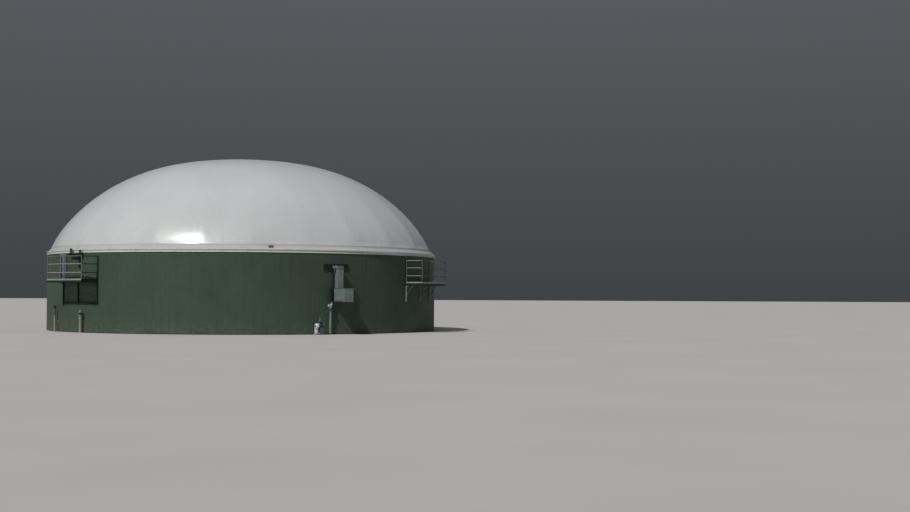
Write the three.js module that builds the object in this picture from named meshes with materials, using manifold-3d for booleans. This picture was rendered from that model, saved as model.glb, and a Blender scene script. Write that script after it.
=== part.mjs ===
// A biogas digester: a round concrete tank with insulated, green sheet cladding,
// a gas roof of coated cloth clamped round its rim, two service platforms,
// a gas relief unit, a support-air blower and two riser pipes.
// Millimetres, +Z up. The origin is on the tank's axis, at the ground.
// Bearings are degrees round the axis: 0 faces -Y, and they grow towards +X.
// What stands on the wall is built in a group turned to a bearing: "along" runs beside the wall,
// and "out" is the distance from the axis, square to it.
import * as THREE from "three";
import { mergeVertices } from "three/addons/utils/BufferGeometryUtils.js";
import Module from "manifold-3d";

const wasm = await Module();
wasm.setup();

// The tank: all its rings have the same facets, so that the gaps between them stay even
const FACETS = 96;
const TANK_INNER_RADIUS = 9000;
const WALL_THICKNESS = 300;
const WALL_RADIUS = TANK_INNER_RADIUS + WALL_THICKNESS;
const WALL_TOP = 3880;
const WALL_SEGMENTS = 4;
const FLOOR_THICKNESS = 200;
const CLADDING_RADIUS = 9500;
const CLADDING_FOOT = 20;
const CLADDING_TOP = 3660;
const CLADDING_SEGMENTS = 6;
const FIT_GAP = 0.3;

// The gas roof: a dome of revolution, (r / R) ^ N + (h / H) ^ M = 1 above its base line
const DOME_RADIUS = 9380;
const DOME_BASE = 3720;
const DOME_RISE = 4680;
const DOME_PLAN_POWER = 2.53;
const DOME_RISE_POWER = 1.35;
const DOME_RINGS = 12;
const SEAM_HEIGHT = 3900;
const MEMBRANE_FOOT = 3700;
const MEMBRANE_INNER = WALL_RADIUS + FIT_GAP;

// The weather skirt below the seam, and the rail that clamps it
const SKIRT_THICKNESS = 26;
const SKIRT_INNER = CLADDING_RADIUS + 3;
const SKIRT_OUTER = SKIRT_INNER + SKIRT_THICKNESS;
const SKIRT_BEND = 3735;
const SKIRT_INNER_BEND = SKIRT_BEND - 12;
const SKIRT_HEM = 3600;
const CLAMP_RAIL = { low: 3712, high: 3752, depth: 16 };

// Both service platforms
const BEAM_WIDTH = 60;
const BEAM_HEIGHT = 170;
const GRATING_THICKNESS = 30;
const POST_RADIUS = 26;
const RAIL_RADIUS = 20;
const TUBE_SIDES = 8;
const FRONT_POSTS = [0, 1 / 2, 1];
const PLATFORM_BACK = CLADDING_RADIUS + 30;
const BRACKET_DEPTH = 60;
const BRACE = { reach: 430, rise: 560 };
const FOOT_BAR = { depth: 40, height: 60, above: 5 };
const FOOT_PLATE = { width: 120, thickness: 14, below: 20, above: 140 };

const LEFT_PLATFORM = {
  bearing: -51.16,
  length: 2810,
  depth: 756,
  floor: 2420,
  rails: [2695, 3080, 3425],
  bracketFoot: 1290,
  footBar: true,
  cabinetEnd: "left",
};
const RIGHT_PLATFORM = {
  bearing: 60.38,
  length: 2900,
  depth: 730,
  floor: 2380,
  rails: [2660, 3031, 3370],
  bracketFoot: 1470,
  footBar: false,
  cabinetEnd: null,
};

// The shallow cabinet on the wall at the left platform's left end
const CABINET = { left: -1570, right: -1075, front: PLATFORM_BACK - 2, top: 3580 };

// The rope guide at the rim above the left platform, and the hand winch below it
const GUIDE = {
  bearing: -51.84,
  out: 9625,
  barLeft: -540,
  barRight: 470,
  barDepth: 90,
  low: 3494,
  high: 3584,
  armWidth: 80,
  postRadius: 70,
  posts: [
    { along: -378, top: 3810 },
    { along: 378, top: 3740 },
  ],
};
const WINCH = {
  along: 200,
  plateHalf: 60,
  plateThickness: 30,
  low: 2935,
  axleOut: 9600,
  axleZ: 3340,
  drumRadius: 62,
  drumHalf: 70,
  cheek: { thickness: 10, below: 80, above: 85, front: 9665 },
  crank: { radius: 14, reach: 60, armLength: 190 },
  ropeStop: { half: 45, front: 9590, height: 85 },
};

// The relief unit: a valve box held out from the wall, fed by a riser duct from a dark header plate
const RELIEF_BEARING = 25.66;
const RELIEF_BOX = { half: 245, back: 9530, front: 10530, low: 1450, high: 2040 };
const HEADER = { left: -690, right: 545, thickness: 25, low: 2820, high: 3120 };
const RISER = { left: -190, right: 85, back: 9490, front: 9880, top: 3040, flange: 30, flangeHeight: 40 };
const BRANCH = { radius: 65, flangeRadius: 90, flangeLength: 20, z: 2975, reach: 150 };
const BRACKET_ARM = { width: 50, frontSetback: 60, wallGap: 40 };
const SIDE_PIPE = { along: -288, radius: 34, turnZ: 2086, plateHalf: 50, plateThickness: 12 };
const WATER_POT = { along: -400, out: 9600, radius: 88, low: 1450, high: 2040, sides: 12, clipZ: 1700, clipSize: 40 };
const DRAIN = { along: -410, radius: 60, sides: 16, collarLow: 1070, collarHigh: 1180, collarRadius: 100 };
const ELBOW = { neckAlong: -348, neckRadius: 36, radius: 70, z: 1275, left: -530, right: -312, sides: 12 };

// The support-air blower at the wall's foot, beside the drain
const BLOWER = { along: -1168, half: 75, back: 9640, depth: 240, high: 500, radius: 120, sides: 24 };
const BLOWER_FOOT = { reach: 20, height: 80 };
const MOTOR = { radius: 112, length: 270, z: 440, sides: 16, footInset: 30, footHalf: 80 };
const BLOWER_OUTLET = { inset: 20, half: 70, depthHalf: 60, height: 110, neckRadius: 45, top: 780 };
const AIR_PIPE = { radius: 30, collarInset: 20, collarRise: 55 };

// Two riser pipes by the wall's foot below the left platform
const RISER_OUT = 9640;
const RISER_PIPES = [
  { bearing: -49, radius: 65, top: 760 },
  { bearing: -63.75, radius: 50, top: 720 },
];
const PIPE_FLANGE = { lip: 28, height: 24 };
const PIPE_CLIP = { half: 20, below: 280, height: 40 };
const CAPPED_VALVE = { top: 1010, bodyTop: 885, capRadius: 70, stubRadius: 30, stubReach: 150 };
const WHEEL_VALVE = { top: 1190, bodyTop: 1080, bodyRadius: 62, stemRadius: 45, wheelRadius: 85, wheelHeight: 26 };

// The small air outlet on the seam of the roof
const AIR_OUTLET = { bearing: 6.87, half: 100, out: 9460, low: 3845, high: 3935 };

const COLOURS = {
  concrete: 0x9d9a92,
  cladding: 0x414c43,
  membrane: 0xdcdcda,
  skirt: 0xe6e5e1,
  galvanised: 0xa7abab,
  cabinet: 0xb9b7bf,
  darkSteel: 0x2b2f30,
  whitePlastic: 0xdfe0dc,
  greyPipe: 0xc2c3bd,
  motorBlue: 0x25405f,
  paleBlue: 0x8fa5b5,
};

// Helpers: materials, solids and joining
function material(colour, roughness, metalness = 0) {
  return new THREE.MeshStandardMaterial({ color: colour, roughness, metalness });
}

function solidOf(geometry) {
  const bare = geometry.index ? geometry.toNonIndexed() : geometry.clone();
  bare.deleteAttribute("normal");
  bare.deleteAttribute("uv");
  const merged = mergeVertices(bare, 1e-3);
  const vertProperties = merged.attributes.position.array;
  const triVerts = new Uint32Array(merged.index.array);
  return new wasm.Manifold(new wasm.Mesh({ numProp: 3, vertProperties, triVerts }));
}

function geometryOf(solid) {
  const mesh = solid.getMesh();
  const geometry = new THREE.BufferGeometry();
  geometry.setAttribute("position", new THREE.BufferAttribute(mesh.vertProperties, 3));
  geometry.setIndex(new THREE.BufferAttribute(mesh.triVerts, 1));
  geometry.computeVertexNormals();
  return geometry;
}

function join(geometries) {
  return geometryOf(geometries.map(solidOf).reduce((whole, piece) => whole.add(piece)));
}

function cut(geometry, ...tools) {
  return geometryOf(tools.map(solidOf).reduce((whole, tool) => whole.subtract(tool), solidOf(geometry)));
}

const digester = new THREE.Group();

function addNode(parent, name, geometry, look) {
  const mesh = new THREE.Mesh(geometry, look);
  mesh.name = name;
  parent.add(mesh);
}

function facing(bearing) {
  const group = new THREE.Group();
  group.rotation.z = THREE.MathUtils.degToRad(bearing);
  digester.add(group);
  return group;
}

// The cladding's distance out from the axis, at a place along the wall
function wallAt(along) {
  return Math.sqrt(CLADDING_RADIUS ** 2 - along ** 2);
}

// A block between two places along the wall, two distances out and two heights
function block(along0, along1, out0, out1, z0, z1) {
  const geometry = new THREE.BoxGeometry(along1 - along0, out1 - out0, z1 - z0);
  return geometry.translate((along0 + along1) / 2, -(out0 + out1) / 2, (z0 + z1) / 2);
}

function point(along, out, z) {
  return new THREE.Vector3(along, -out, z);
}

// A straight bar with few sides, its flats at the given radius
function bar(from, to, radius, sides = TUBE_SIDES) {
  const along = new THREE.Vector3().subVectors(to, from);
  const corner = radius / Math.cos(Math.PI / sides);
  const geometry = new THREE.CylinderGeometry(corner, corner, along.length(), sides, 1, false, Math.PI / sides);
  const turn = new THREE.Quaternion().setFromUnitVectors(new THREE.Vector3(0, 1, 0), along.normalize());
  geometry.applyQuaternion(turn);
  const middle = new THREE.Vector3().addVectors(from, to).multiplyScalar(0.5);
  return geometry.translate(middle.x, middle.y, middle.z);
}

// An upright bar at a place on the wall
function upright(along, out, z0, z1, radius, sides = TUBE_SIDES) {
  return bar(point(along, out, z0), point(along, out, z1), radius, sides);
}

// A body of revolution about the tank's axis, from a profile of [radius, height] that closes on itself
function turned(profile) {
  const points = profile.map(([radius, height]) => new THREE.Vector2(radius, height));
  return new THREE.LatheGeometry(points, FACETS).rotateX(Math.PI / 2);
}

// One stretch of a round wall, split evenly into segments with a hairline gap between them
function wallSegment(index, count, innerRadius, outerRadius, z0, z1) {
  const facets = FACETS / count;
  const hairline = FIT_GAP / 2 / innerRadius;
  const step = (2 * Math.PI) / FACETS;
  const first = index * facets * step;
  const bearings = [];
  for (let i = 0; i <= facets; i++) {
    const nudge = i === 0 ? hairline : i === facets ? -hairline : 0;
    bearings.push(first + i * step + nudge);
  }
  const outline = (radius) => bearings.map((b) => new THREE.Vector2(radius * Math.sin(b), -radius * Math.cos(b)));
  const shape = new THREE.Shape([...outline(outerRadius), ...outline(innerRadius).reverse()]);
  return new THREE.ExtrudeGeometry(shape, { depth: z1 - z0, bevelEnabled: false }).translate(0, 0, z0);
}

// A round disc whose facets line up with the walls
function disc(radius, z0, z1) {
  const geometry = new THREE.CylinderGeometry(radius, radius, z1 - z0, FACETS).rotateX(Math.PI / 2);
  return geometry.translate(0, 0, (z0 + z1) / 2);
}

// Everything inside the cladding's face, seen from a group turned to a bearing.
// What is fixed to the wall starts behind its face, by this reach, and is cut to lie on it.
const WALL_REACH = 60;
const CLADDING_TOOL_TOP = SKIRT_HEM - 10;

function claddingTool(bearing, thickness = 0) {
  const turn = -THREE.MathUtils.degToRad(bearing);
  return disc(CLADDING_RADIUS + thickness + FIT_GAP, -100, CLADDING_TOOL_TOP).rotateZ(turn);
}

// The dome's outline. The inner face is the outer one drawn in towards the middle of the base line.
const seamSine = ((SEAM_HEIGHT - DOME_BASE) / DOME_RISE) ** (DOME_RISE_POWER / 2);
const seamAngle = Math.asin(seamSine);
const SEAM_RADIUS = DOME_RADIUS * Math.cos(seamAngle) ** (2 / DOME_PLAN_POWER);

function domeProfile(scale) {
  const profile = [];
  for (let i = 0; i <= DOME_RINGS; i++) {
    const angle = seamAngle + ((Math.PI / 2 - seamAngle) * i) / DOME_RINGS;
    const radius = DOME_RADIUS * scale * Math.max(Math.cos(angle), 0) ** (2 / DOME_PLAN_POWER);
    const height = DOME_BASE + DOME_RISE * scale * Math.sin(angle) ** (2 / DOME_RISE_POWER);
    profile.push([i === DOME_RINGS ? 0 : radius, height]);
  }
  return profile;
}

function addTank() {
  const concrete = material(COLOURS.concrete, 0.9);
  addNode(digester, "tank_floor", disc(TANK_INNER_RADIUS - FIT_GAP, 0, FLOOR_THICKNESS), concrete);
  for (let i = 0; i < WALL_SEGMENTS; i++) {
    const geometry = wallSegment(i, WALL_SEGMENTS, TANK_INNER_RADIUS, WALL_RADIUS, 0, WALL_TOP);
    addNode(digester, `tank_wall_${i + 1}`, geometry, concrete);
  }
  const green = material(COLOURS.cladding, 0.45, 0.2);
  const back = WALL_RADIUS + FIT_GAP;
  for (let i = 0; i < CLADDING_SEGMENTS; i++) {
    const geometry = wallSegment(i, CLADDING_SEGMENTS, back, CLADDING_RADIUS, CLADDING_FOOT, CLADDING_TOP);
    addNode(digester, `cladding_${i + 1}`, geometry, green);
  }
}

function addRoof() {
  const outer = domeProfile(1);
  const inner = domeProfile(MEMBRANE_INNER / SEAM_RADIUS).reverse();
  const profile = [
    ...inner,
    [MEMBRANE_INNER, MEMBRANE_FOOT],
    [SEAM_RADIUS, MEMBRANE_FOOT],
    ...outer,
  ];
  addNode(digester, "roof_membrane", turned(profile), material(COLOURS.membrane, 0.4));

  const skirtTop = SEAM_RADIUS + FIT_GAP;
  const skirt = [
    [skirtTop, SEAM_HEIGHT],
    [SKIRT_INNER, SKIRT_INNER_BEND],
    [SKIRT_INNER, SKIRT_HEM],
    [SKIRT_OUTER, SKIRT_HEM],
    [SKIRT_OUTER, SKIRT_BEND],
    [skirtTop + SKIRT_THICKNESS, SEAM_HEIGHT],
    [skirtTop, SEAM_HEIGHT],
  ];
  addNode(digester, "membrane_skirt", turned(skirt), material(COLOURS.skirt, 0.45));

  const railInner = SKIRT_OUTER + FIT_GAP;
  const railOuter = railInner + CLAMP_RAIL.depth;
  const rail = [
    [railInner, CLAMP_RAIL.low],
    [railOuter, CLAMP_RAIL.low],
    [railOuter, CLAMP_RAIL.high],
    [railInner, CLAMP_RAIL.high],
    [railInner, CLAMP_RAIL.low],
  ];
  addNode(digester, "clamp_rail", turned(rail), material(COLOURS.galvanised, 0.4, 0.8));
}

// A railing between two ends: posts at shares of its length, and rails from end to end
function railing([from, to], postShares, foot, heights) {
  const at = (share, z) => new THREE.Vector3().lerpVectors(from, to, share).setZ(z);
  const top = heights[heights.length - 1] + RAIL_RADIUS;
  const posts = postShares.map((share) => bar(at(share, foot), at(share, top), POST_RADIUS));
  const rails = heights.map((z) => bar(at(0, z), at(1, z), RAIL_RADIUS));
  return join([...posts, ...rails]);
}

// One bracket down the wall: an upright with a foot plate. Without a foot bar it has a brace up to the beams.
function wallBracket(along, platform) {
  const wall = wallAt(along);
  const half = BEAM_WIDTH / 2;
  const low = platform.floor - BEAM_HEIGHT;
  const beamMiddle = platform.floor - BEAM_HEIGHT / 2;
  const plateLow = platform.bracketFoot - FOOT_PLATE.below;
  const plateHigh = platform.bracketFoot + FOOT_PLATE.above;
  const plateHalf = FOOT_PLATE.width / 2;
  const pieces = [
    block(along - half, along + half, wall - WALL_REACH, wall + BRACKET_DEPTH, platform.bracketFoot, low + 1),
    block(along - plateHalf, along + plateHalf, wall - WALL_REACH, wall + FOOT_PLATE.thickness, plateLow, plateHigh),
  ];
  if (!platform.footBar) {
    const braceFoot = point(along, wall + BRACKET_DEPTH / 2, beamMiddle - BRACE.rise);
    pieces.push(bar(braceFoot, point(along, wall + BRACE.reach, beamMiddle), RAIL_RADIUS));
  }
  return pieces;
}

// Everything beyond a radius, over the heights of what is cut with it
function outside(bearing, radius, { low, high }) {
  const turn = -THREE.MathUtils.degToRad(bearing);
  const far = radius + 500;
  const profile = [
    [radius, low - 10],
    [far, low - 10],
    [far, high + 10],
    [radius, high + 10],
    [radius, low - 10],
  ];
  return turned(profile).rotateZ(turn);
}

// The bar that joins the feet of the brackets, bent to the wall
function footBar(platform) {
  const half = platform.length / 2;
  const front = CLADDING_RADIUS + FOOT_BAR.depth;
  const low = platform.bracketFoot + FOOT_BAR.above;
  const high = low + FOOT_BAR.height;
  const straight = block(-half, half, wallAt(half) - WALL_REACH, front + 1, low, high);
  return cut(straight, outside(platform.bearing, front, { low, high }));
}

// The welded console frame: edge beams, a middle joist, three brackets down the wall, and any foot bar
function platformFrame(platform, tool) {
  const half = platform.length / 2;
  const outer = PLATFORM_BACK + platform.depth;
  const low = platform.floor - BEAM_HEIGHT;
  const joistTop = platform.floor - GRATING_THICKNESS - FIT_GAP;
  const behindWall = wallAt(half) - WALL_REACH;
  const bracketAt = half - BEAM_WIDTH / 2;
  const beams = [
    block(-half, half, outer - BEAM_WIDTH, outer, low, platform.floor),
    block(-half, half, PLATFORM_BACK, PLATFORM_BACK + BEAM_WIDTH, low, platform.floor),
    block(-half, -half + BEAM_WIDTH, behindWall, outer, low, platform.floor),
    block(half - BEAM_WIDTH, half, behindWall, outer, low, platform.floor),
    block(-BEAM_WIDTH / 2, BEAM_WIDTH / 2, behindWall, outer, low, joistTop),
  ];
  const brackets = [-bracketAt, 0, bracketAt].flatMap((along) => wallBracket(along, platform));
  const lowest = platform.footBar ? [footBar(platform)] : [];
  return cut(join([...beams, ...brackets, ...lowest]), tool);
}

function addPlatform(side, platform) {
  const group = facing(platform.bearing);
  const tool = claddingTool(platform.bearing);
  const steel = material(COLOURS.galvanised, 0.45, 0.8);
  const half = platform.length / 2;
  const outer = PLATFORM_BACK + platform.depth;
  const inset = BEAM_WIDTH / 2;
  const stand = platform.floor + FIT_GAP;

  addNode(group, `${side}_platform_frame`, platformFrame(platform, tool), steel);

  const inside = half - BEAM_WIDTH - FIT_GAP;
  const grating = block(
    -inside,
    inside,
    PLATFORM_BACK + BEAM_WIDTH + FIT_GAP,
    outer - BEAM_WIDTH - FIT_GAP,
    platform.floor - GRATING_THICKNESS,
    platform.floor,
  );
  addNode(group, `${side}_platform_grating`, grating, steel);

  const front = [point(-half + inset, outer - inset, 0), point(half - inset, outer - inset, 0)];
  addNode(group, `${side}_platform_front_railing`, railing(front, FRONT_POSTS, stand, platform.rails), steel);

  // Each end railing runs from its post by the wall, or by the cabinet, to the front railing's corner post
  const cornerFace = outer - inset - POST_RADIUS - FIT_GAP;
  const ends = { left: -half + inset, right: half - inset };
  for (const [end, along] of Object.entries(ends)) {
    const behind = end === platform.cabinetEnd ? PLATFORM_BACK : wallAt(along);
    const run = [point(along, behind + inset, 0), point(along, cornerFace, 0)];
    addNode(group, `${side}_platform_${end}_railing`, railing(run, [0], stand, platform.rails), steel);
  }
  return group;
}

function addCabinet(group) {
  const behindWall = wallAt(CABINET.left) - WALL_REACH;
  const low = LEFT_PLATFORM.floor + FIT_GAP;
  const box = block(CABINET.left, CABINET.right, behindWall, CABINET.front, low, CABINET.top);
  const grey = material(COLOURS.cabinet, 0.5, 0.3);
  addNode(group, "wall_cabinet", cut(box, claddingTool(LEFT_PLATFORM.bearing)), grey);
}

// The rope guide: a bar on two arms from the wall, with two upright rollers
function addRopeGuide() {
  const group = facing(GUIDE.bearing);
  const tool = claddingTool(GUIDE.bearing);
  const dark = material(COLOURS.darkSteel, 0.5, 0.5);
  const barHalf = GUIDE.barDepth / 2;
  const armHalf = GUIDE.armWidth / 2;
  const pieces = [
    block(GUIDE.barLeft, GUIDE.barRight, GUIDE.out - barHalf, GUIDE.out + barHalf, GUIDE.low, GUIDE.high),
  ];
  for (const { along, top } of GUIDE.posts) {
    const behindWall = wallAt(along) - WALL_REACH;
    pieces.push(
      block(along - armHalf, along + armHalf, behindWall, GUIDE.out, GUIDE.low, GUIDE.high),
      upright(along, GUIDE.out, GUIDE.low + 10, top, GUIDE.postRadius),
    );
  }
  addNode(group, "rope_guide", cut(join(pieces), tool), dark);
  addWinch(group, tool, dark);
}

// The hand winch: a plate on the wall, a drum between two cheeks, a crank, and a rope stop at its foot
function addWinch(group, tool, dark) {
  const { along, plateHalf, low, axleOut, axleZ, drumHalf, cheek, crank, ropeStop } = WINCH;
  const behindWall = wallAt(along) - WALL_REACH;
  const plateFront = CLADDING_RADIUS + WINCH.plateThickness;
  const plateTop = GUIDE.low - FIT_GAP;
  const crankEnd = along + drumHalf + crank.reach;
  const pieces = [
    block(along - plateHalf, along + plateHalf, behindWall, plateFront, low, plateTop),
    bar(point(along - drumHalf, axleOut, axleZ), point(along + drumHalf, axleOut, axleZ), WINCH.drumRadius),
    bar(point(along, axleOut, axleZ), point(crankEnd, axleOut, axleZ), crank.radius),
    block(
      crankEnd - crank.radius,
      crankEnd,
      axleOut - crank.radius,
      axleOut + crank.radius,
      axleZ - crank.armLength,
      axleZ + crank.radius,
    ),
    block(along - ropeStop.half, along + ropeStop.half, behindWall, ropeStop.front, low, low + ropeStop.height),
  ];
  for (const side of [-drumHalf, drumHalf - cheek.thickness]) {
    const start = along + side;
    pieces.push(
      block(start, start + cheek.thickness, behindWall, cheek.front, axleZ - cheek.below, axleZ + cheek.above),
    );
  }
  addNode(group, "hand_winch", cut(join(pieces), tool), dark);
}

function addReliefUnit() {
  const group = facing(RELIEF_BEARING);
  const tool = claddingTool(RELIEF_BEARING);
  const steel = material(COLOURS.galvanised, 0.5, 0.7);
  const dark = material(COLOURS.darkSteel, 0.6, 0.3);
  const behindWall = CLADDING_RADIUS - WALL_REACH;

  const headerOuter = CLADDING_RADIUS + HEADER.thickness;
  const header = block(HEADER.left, HEADER.right, behindWall, headerOuter + 1, HEADER.low, HEADER.high);
  addNode(group, "relief_header_plate", cut(header, tool, outside(RELIEF_BEARING, headerOuter, HEADER)), dark);

  const riserFoot = RELIEF_BOX.high + FIT_GAP;
  const flange = RISER.flange;
  const riser = join([
    block(RISER.left, RISER.right, RISER.back, RISER.front, riserFoot, RISER.top),
    block(
      RISER.left - flange,
      RISER.right + flange,
      RISER.back,
      RISER.front + flange,
      riserFoot,
      riserFoot + RISER.flangeHeight,
    ),
  ]);
  addNode(group, "relief_riser_duct", cut(riser, claddingTool(RELIEF_BEARING, HEADER.thickness)), steel);

  const branchOut = (headerOuter + RISER.front) / 2;
  const branchEnd = RISER.left - FIT_GAP;
  const branchPoint = (length) => point(branchEnd - length, branchOut, BRANCH.z);
  const branch = join([
    bar(branchPoint(BRANCH.reach), branchPoint(0), BRANCH.radius),
    bar(branchPoint(BRANCH.flangeLength), branchPoint(0), BRANCH.flangeRadius),
  ]);
  addNode(group, "relief_branch_pipe", branch, steel);

  const { half, back, front, low, high } = RELIEF_BOX;
  addNode(group, "relief_valve_box", block(-half, half, back, front, low, high), steel);

  // Two arms carry the box: they reach under it from the wall, with two rungs between them
  const { width } = BRACKET_ARM;
  const armTop = low - FIT_GAP;
  const armLow = armTop - width;
  const armFront = front - BRACKET_ARM.frontSetback;
  const innerRung = CLADDING_RADIUS + BRACKET_ARM.wallGap;
  const arms = join([
    block(-half, -half + width, behindWall, armFront, armLow, armTop),
    block(half - width, half, behindWall, armFront, armLow, armTop),
    block(-half, half, armFront - width, armFront, armLow, armTop),
    block(-half, half, innerRung, innerRung + width, armLow, armTop),
  ]);
  addNode(group, "relief_valve_bracket", cut(arms, tool), steel);

  addWaterPot(group, tool, dark);
  addDrain(group, dark);
  return group;
}

// A thin pipe comes down from a plate under the header, and steps aside into the water pot beside the box
function addWaterPot(group, tool, dark) {
  const { along, out, radius, low, high, sides, clipZ, clipSize } = WATER_POT;
  const { turnZ, plateHalf, plateThickness } = SIDE_PIPE;
  const behindWall = CLADDING_RADIUS - WALL_REACH;
  const plateTop = HEADER.low - FIT_GAP;
  const potPipe = join([
    block(
      SIDE_PIPE.along - plateHalf,
      SIDE_PIPE.along + plateHalf,
      behindWall,
      out + plateHalf,
      plateTop - plateThickness,
      plateTop,
    ),
    upright(SIDE_PIPE.along, out, turnZ - SIDE_PIPE.radius, plateTop - 1, SIDE_PIPE.radius),
    bar(point(SIDE_PIPE.along, out, turnZ), point(along, out, turnZ), SIDE_PIPE.radius),
    upright(along, out, high - 1, turnZ + SIDE_PIPE.radius, SIDE_PIPE.radius),
    upright(along, out, low, high, radius, sides),
    block(along - clipSize / 2, along + clipSize / 2, behindWall, out, clipZ, clipZ + clipSize),
  ]);
  addNode(group, "relief_side_pipe", cut(potPipe, tool), dark);
}

// The elbow leaves the pot's underside, and its wide bend stands in the collar of the drain pipe
function addDrain(group, dark) {
  const { along, collarLow, collarHigh, collarRadius, radius, sides } = DRAIN;
  const { out } = WATER_POT;
  const elbow = join([
    upright(ELBOW.neckAlong, out, ELBOW.z, WATER_POT.low - FIT_GAP, ELBOW.neckRadius),
    bar(point(ELBOW.left, out, ELBOW.z), point(ELBOW.right, out, ELBOW.z), ELBOW.radius, ELBOW.sides),
    upright(along, out, collarHigh + FIT_GAP, ELBOW.z, ELBOW.radius, ELBOW.sides),
  ]);
  addNode(group, "relief_drain_elbow", elbow, material(COLOURS.whitePlastic, 0.4));

  addNode(group, "drain_collar", upright(along, out, collarLow, collarHigh, collarRadius, sides), dark);
  const pipe = upright(along, out, 0, collarLow - FIT_GAP, radius, sides);
  addNode(group, "drain_pipe", pipe, material(COLOURS.greyPipe, 0.5));
}

// The blower's air pipe rises from its outlet to the drain collar
function addBlower(group) {
  const { along, half, back, depth, high, radius, sides } = BLOWER;
  const middle = back + depth / 2;
  const drumZ = high - radius;
  const footLeft = along - half - BLOWER_FOOT.reach;
  const footRight = along + half + BLOWER_FOOT.reach;
  const housing = join([
    bar(point(along - half, middle, drumZ), point(along + half, middle, drumZ), radius, sides),
    block(along - half, along + half, back, middle, BLOWER_FOOT.height - 20, drumZ),
    block(footLeft, footRight, back - BLOWER_FOOT.reach, back + depth, 0, BLOWER_FOOT.height),
  ]);
  addNode(group, "blower_housing", housing, material(COLOURS.whitePlastic, 0.4));

  const motorStart = along + half + FIT_GAP;
  const motorEnd = motorStart + MOTOR.length;
  const footZ = MOTOR.z - MOTOR.radius / 2;
  const { footInset, footHalf } = MOTOR;
  const motor = join([
    bar(point(motorStart, middle, MOTOR.z), point(motorEnd, middle, MOTOR.z), MOTOR.radius, MOTOR.sides),
    block(motorStart + footInset, motorEnd - footInset, middle - footHalf, middle + footHalf, 0, footZ),
  ]);
  addNode(group, "blower_motor", motor, material(COLOURS.motorBlue, 0.4, 0.3));

  const outletAlong = motorStart + BLOWER_OUTLET.inset + BLOWER_OUTLET.half;
  const outletLow = MOTOR.z + MOTOR.radius + FIT_GAP;
  const boxTop = outletLow + BLOWER_OUTLET.height;
  const boxHalf = BLOWER_OUTLET.half;
  const depthHalf = BLOWER_OUTLET.depthHalf;
  const outlet = join([
    block(outletAlong - boxHalf, outletAlong + boxHalf, middle - depthHalf, middle + depthHalf, outletLow, boxTop),
    upright(outletAlong, middle, boxTop - 10, BLOWER_OUTLET.top, BLOWER_OUTLET.neckRadius),
  ]);
  const paleBlue = material(COLOURS.paleBlue, 0.5);
  addNode(group, "blower_outlet", outlet, paleBlue);

  // The pipe starts inside the outlet and ends inside the collar, and is cut back to their faces
  const pipeFrom = point(outletAlong, middle, BLOWER_OUTLET.top - AIR_PIPE.radius);
  const pipeTo = point(DRAIN.along - AIR_PIPE.collarInset, WATER_POT.out, DRAIN.collarLow + AIR_PIPE.collarRise);
  const collarGap = DRAIN.collarRadius + FIT_GAP;
  const collarTool = upright(DRAIN.along, WATER_POT.out, 0, DRAIN.collarHigh * 2, collarGap, DRAIN.sides);
  const outletTop = BLOWER_OUTLET.top + FIT_GAP;
  const outletTool = block(outletAlong - 200, outletAlong + 200, middle - 200, middle + 200, outletLow, outletTop);
  const airPipe = cut(bar(pipeFrom, pipeTo, AIR_PIPE.radius), collarTool, outletTool);
  addNode(group, "blower_air_pipe", airPipe, paleBlue);
}

// A riser pipe with a flange at its top, and a clip that holds it to the wall
function riserPipe({ bearing, radius, top }) {
  const clipTop = top - PIPE_CLIP.below + PIPE_CLIP.height;
  const behindWall = CLADDING_RADIUS - WALL_REACH;
  const pipe = join([
    upright(0, RISER_OUT, 0, top, radius, 12),
    upright(0, RISER_OUT, top - PIPE_FLANGE.height, top, radius + PIPE_FLANGE.lip, 12),
    block(-PIPE_CLIP.half, PIPE_CLIP.half, behindWall, RISER_OUT, top - PIPE_CLIP.below, clipTop),
  ]);
  return cut(pipe, claddingTool(bearing));
}

function addRiserPipes() {
  const grey = material(COLOURS.greyPipe, 0.5, 0.3);
  const valveMetal = material(COLOURS.galvanised, 0.4, 0.6);
  const groups = RISER_PIPES.map((pipe, i) => {
    const group = facing(pipe.bearing);
    addNode(group, `riser_pipe_${i + 1}`, riserPipe(pipe), grey);
    return group;
  });
  RISER_PIPES.forEach(({ radius, top }, i) => {
    const foot = top + FIT_GAP;
    const flange = upright(0, RISER_OUT, foot, foot + PIPE_FLANGE.height, radius + PIPE_FLANGE.lip, 12);
    const body = i === 0 ? cappedValve(foot) : wheelValve(foot);
    addNode(groups[i], `riser_valve_${i + 1}`, join([flange, ...body]), valveMetal);
  });
}

// A valve body under a bright cap, with a closed stub at its side
function cappedValve(foot) {
  const { top, bodyTop, capRadius, stubRadius, stubReach } = CAPPED_VALVE;
  const stubZ = (foot + bodyTop) / 2;
  return [
    upright(0, RISER_OUT, foot, bodyTop, capRadius - 8, 12),
    upright(0, RISER_OUT, bodyTop - 1, top, capRadius, 12),
    bar(point(0, RISER_OUT, stubZ), point(stubReach, RISER_OUT, stubZ), stubRadius),
  ];
}

// A valve body with a stem and a hand wheel
function wheelValve(foot) {
  const { top, bodyTop, bodyRadius, stemRadius, wheelRadius, wheelHeight } = WHEEL_VALVE;
  return [
    upright(0, RISER_OUT, foot, bodyTop, bodyRadius, 12),
    upright(0, RISER_OUT, foot, top, stemRadius),
    upright(0, RISER_OUT, top - wheelHeight, top, wheelRadius, 12),
  ];
}

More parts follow.
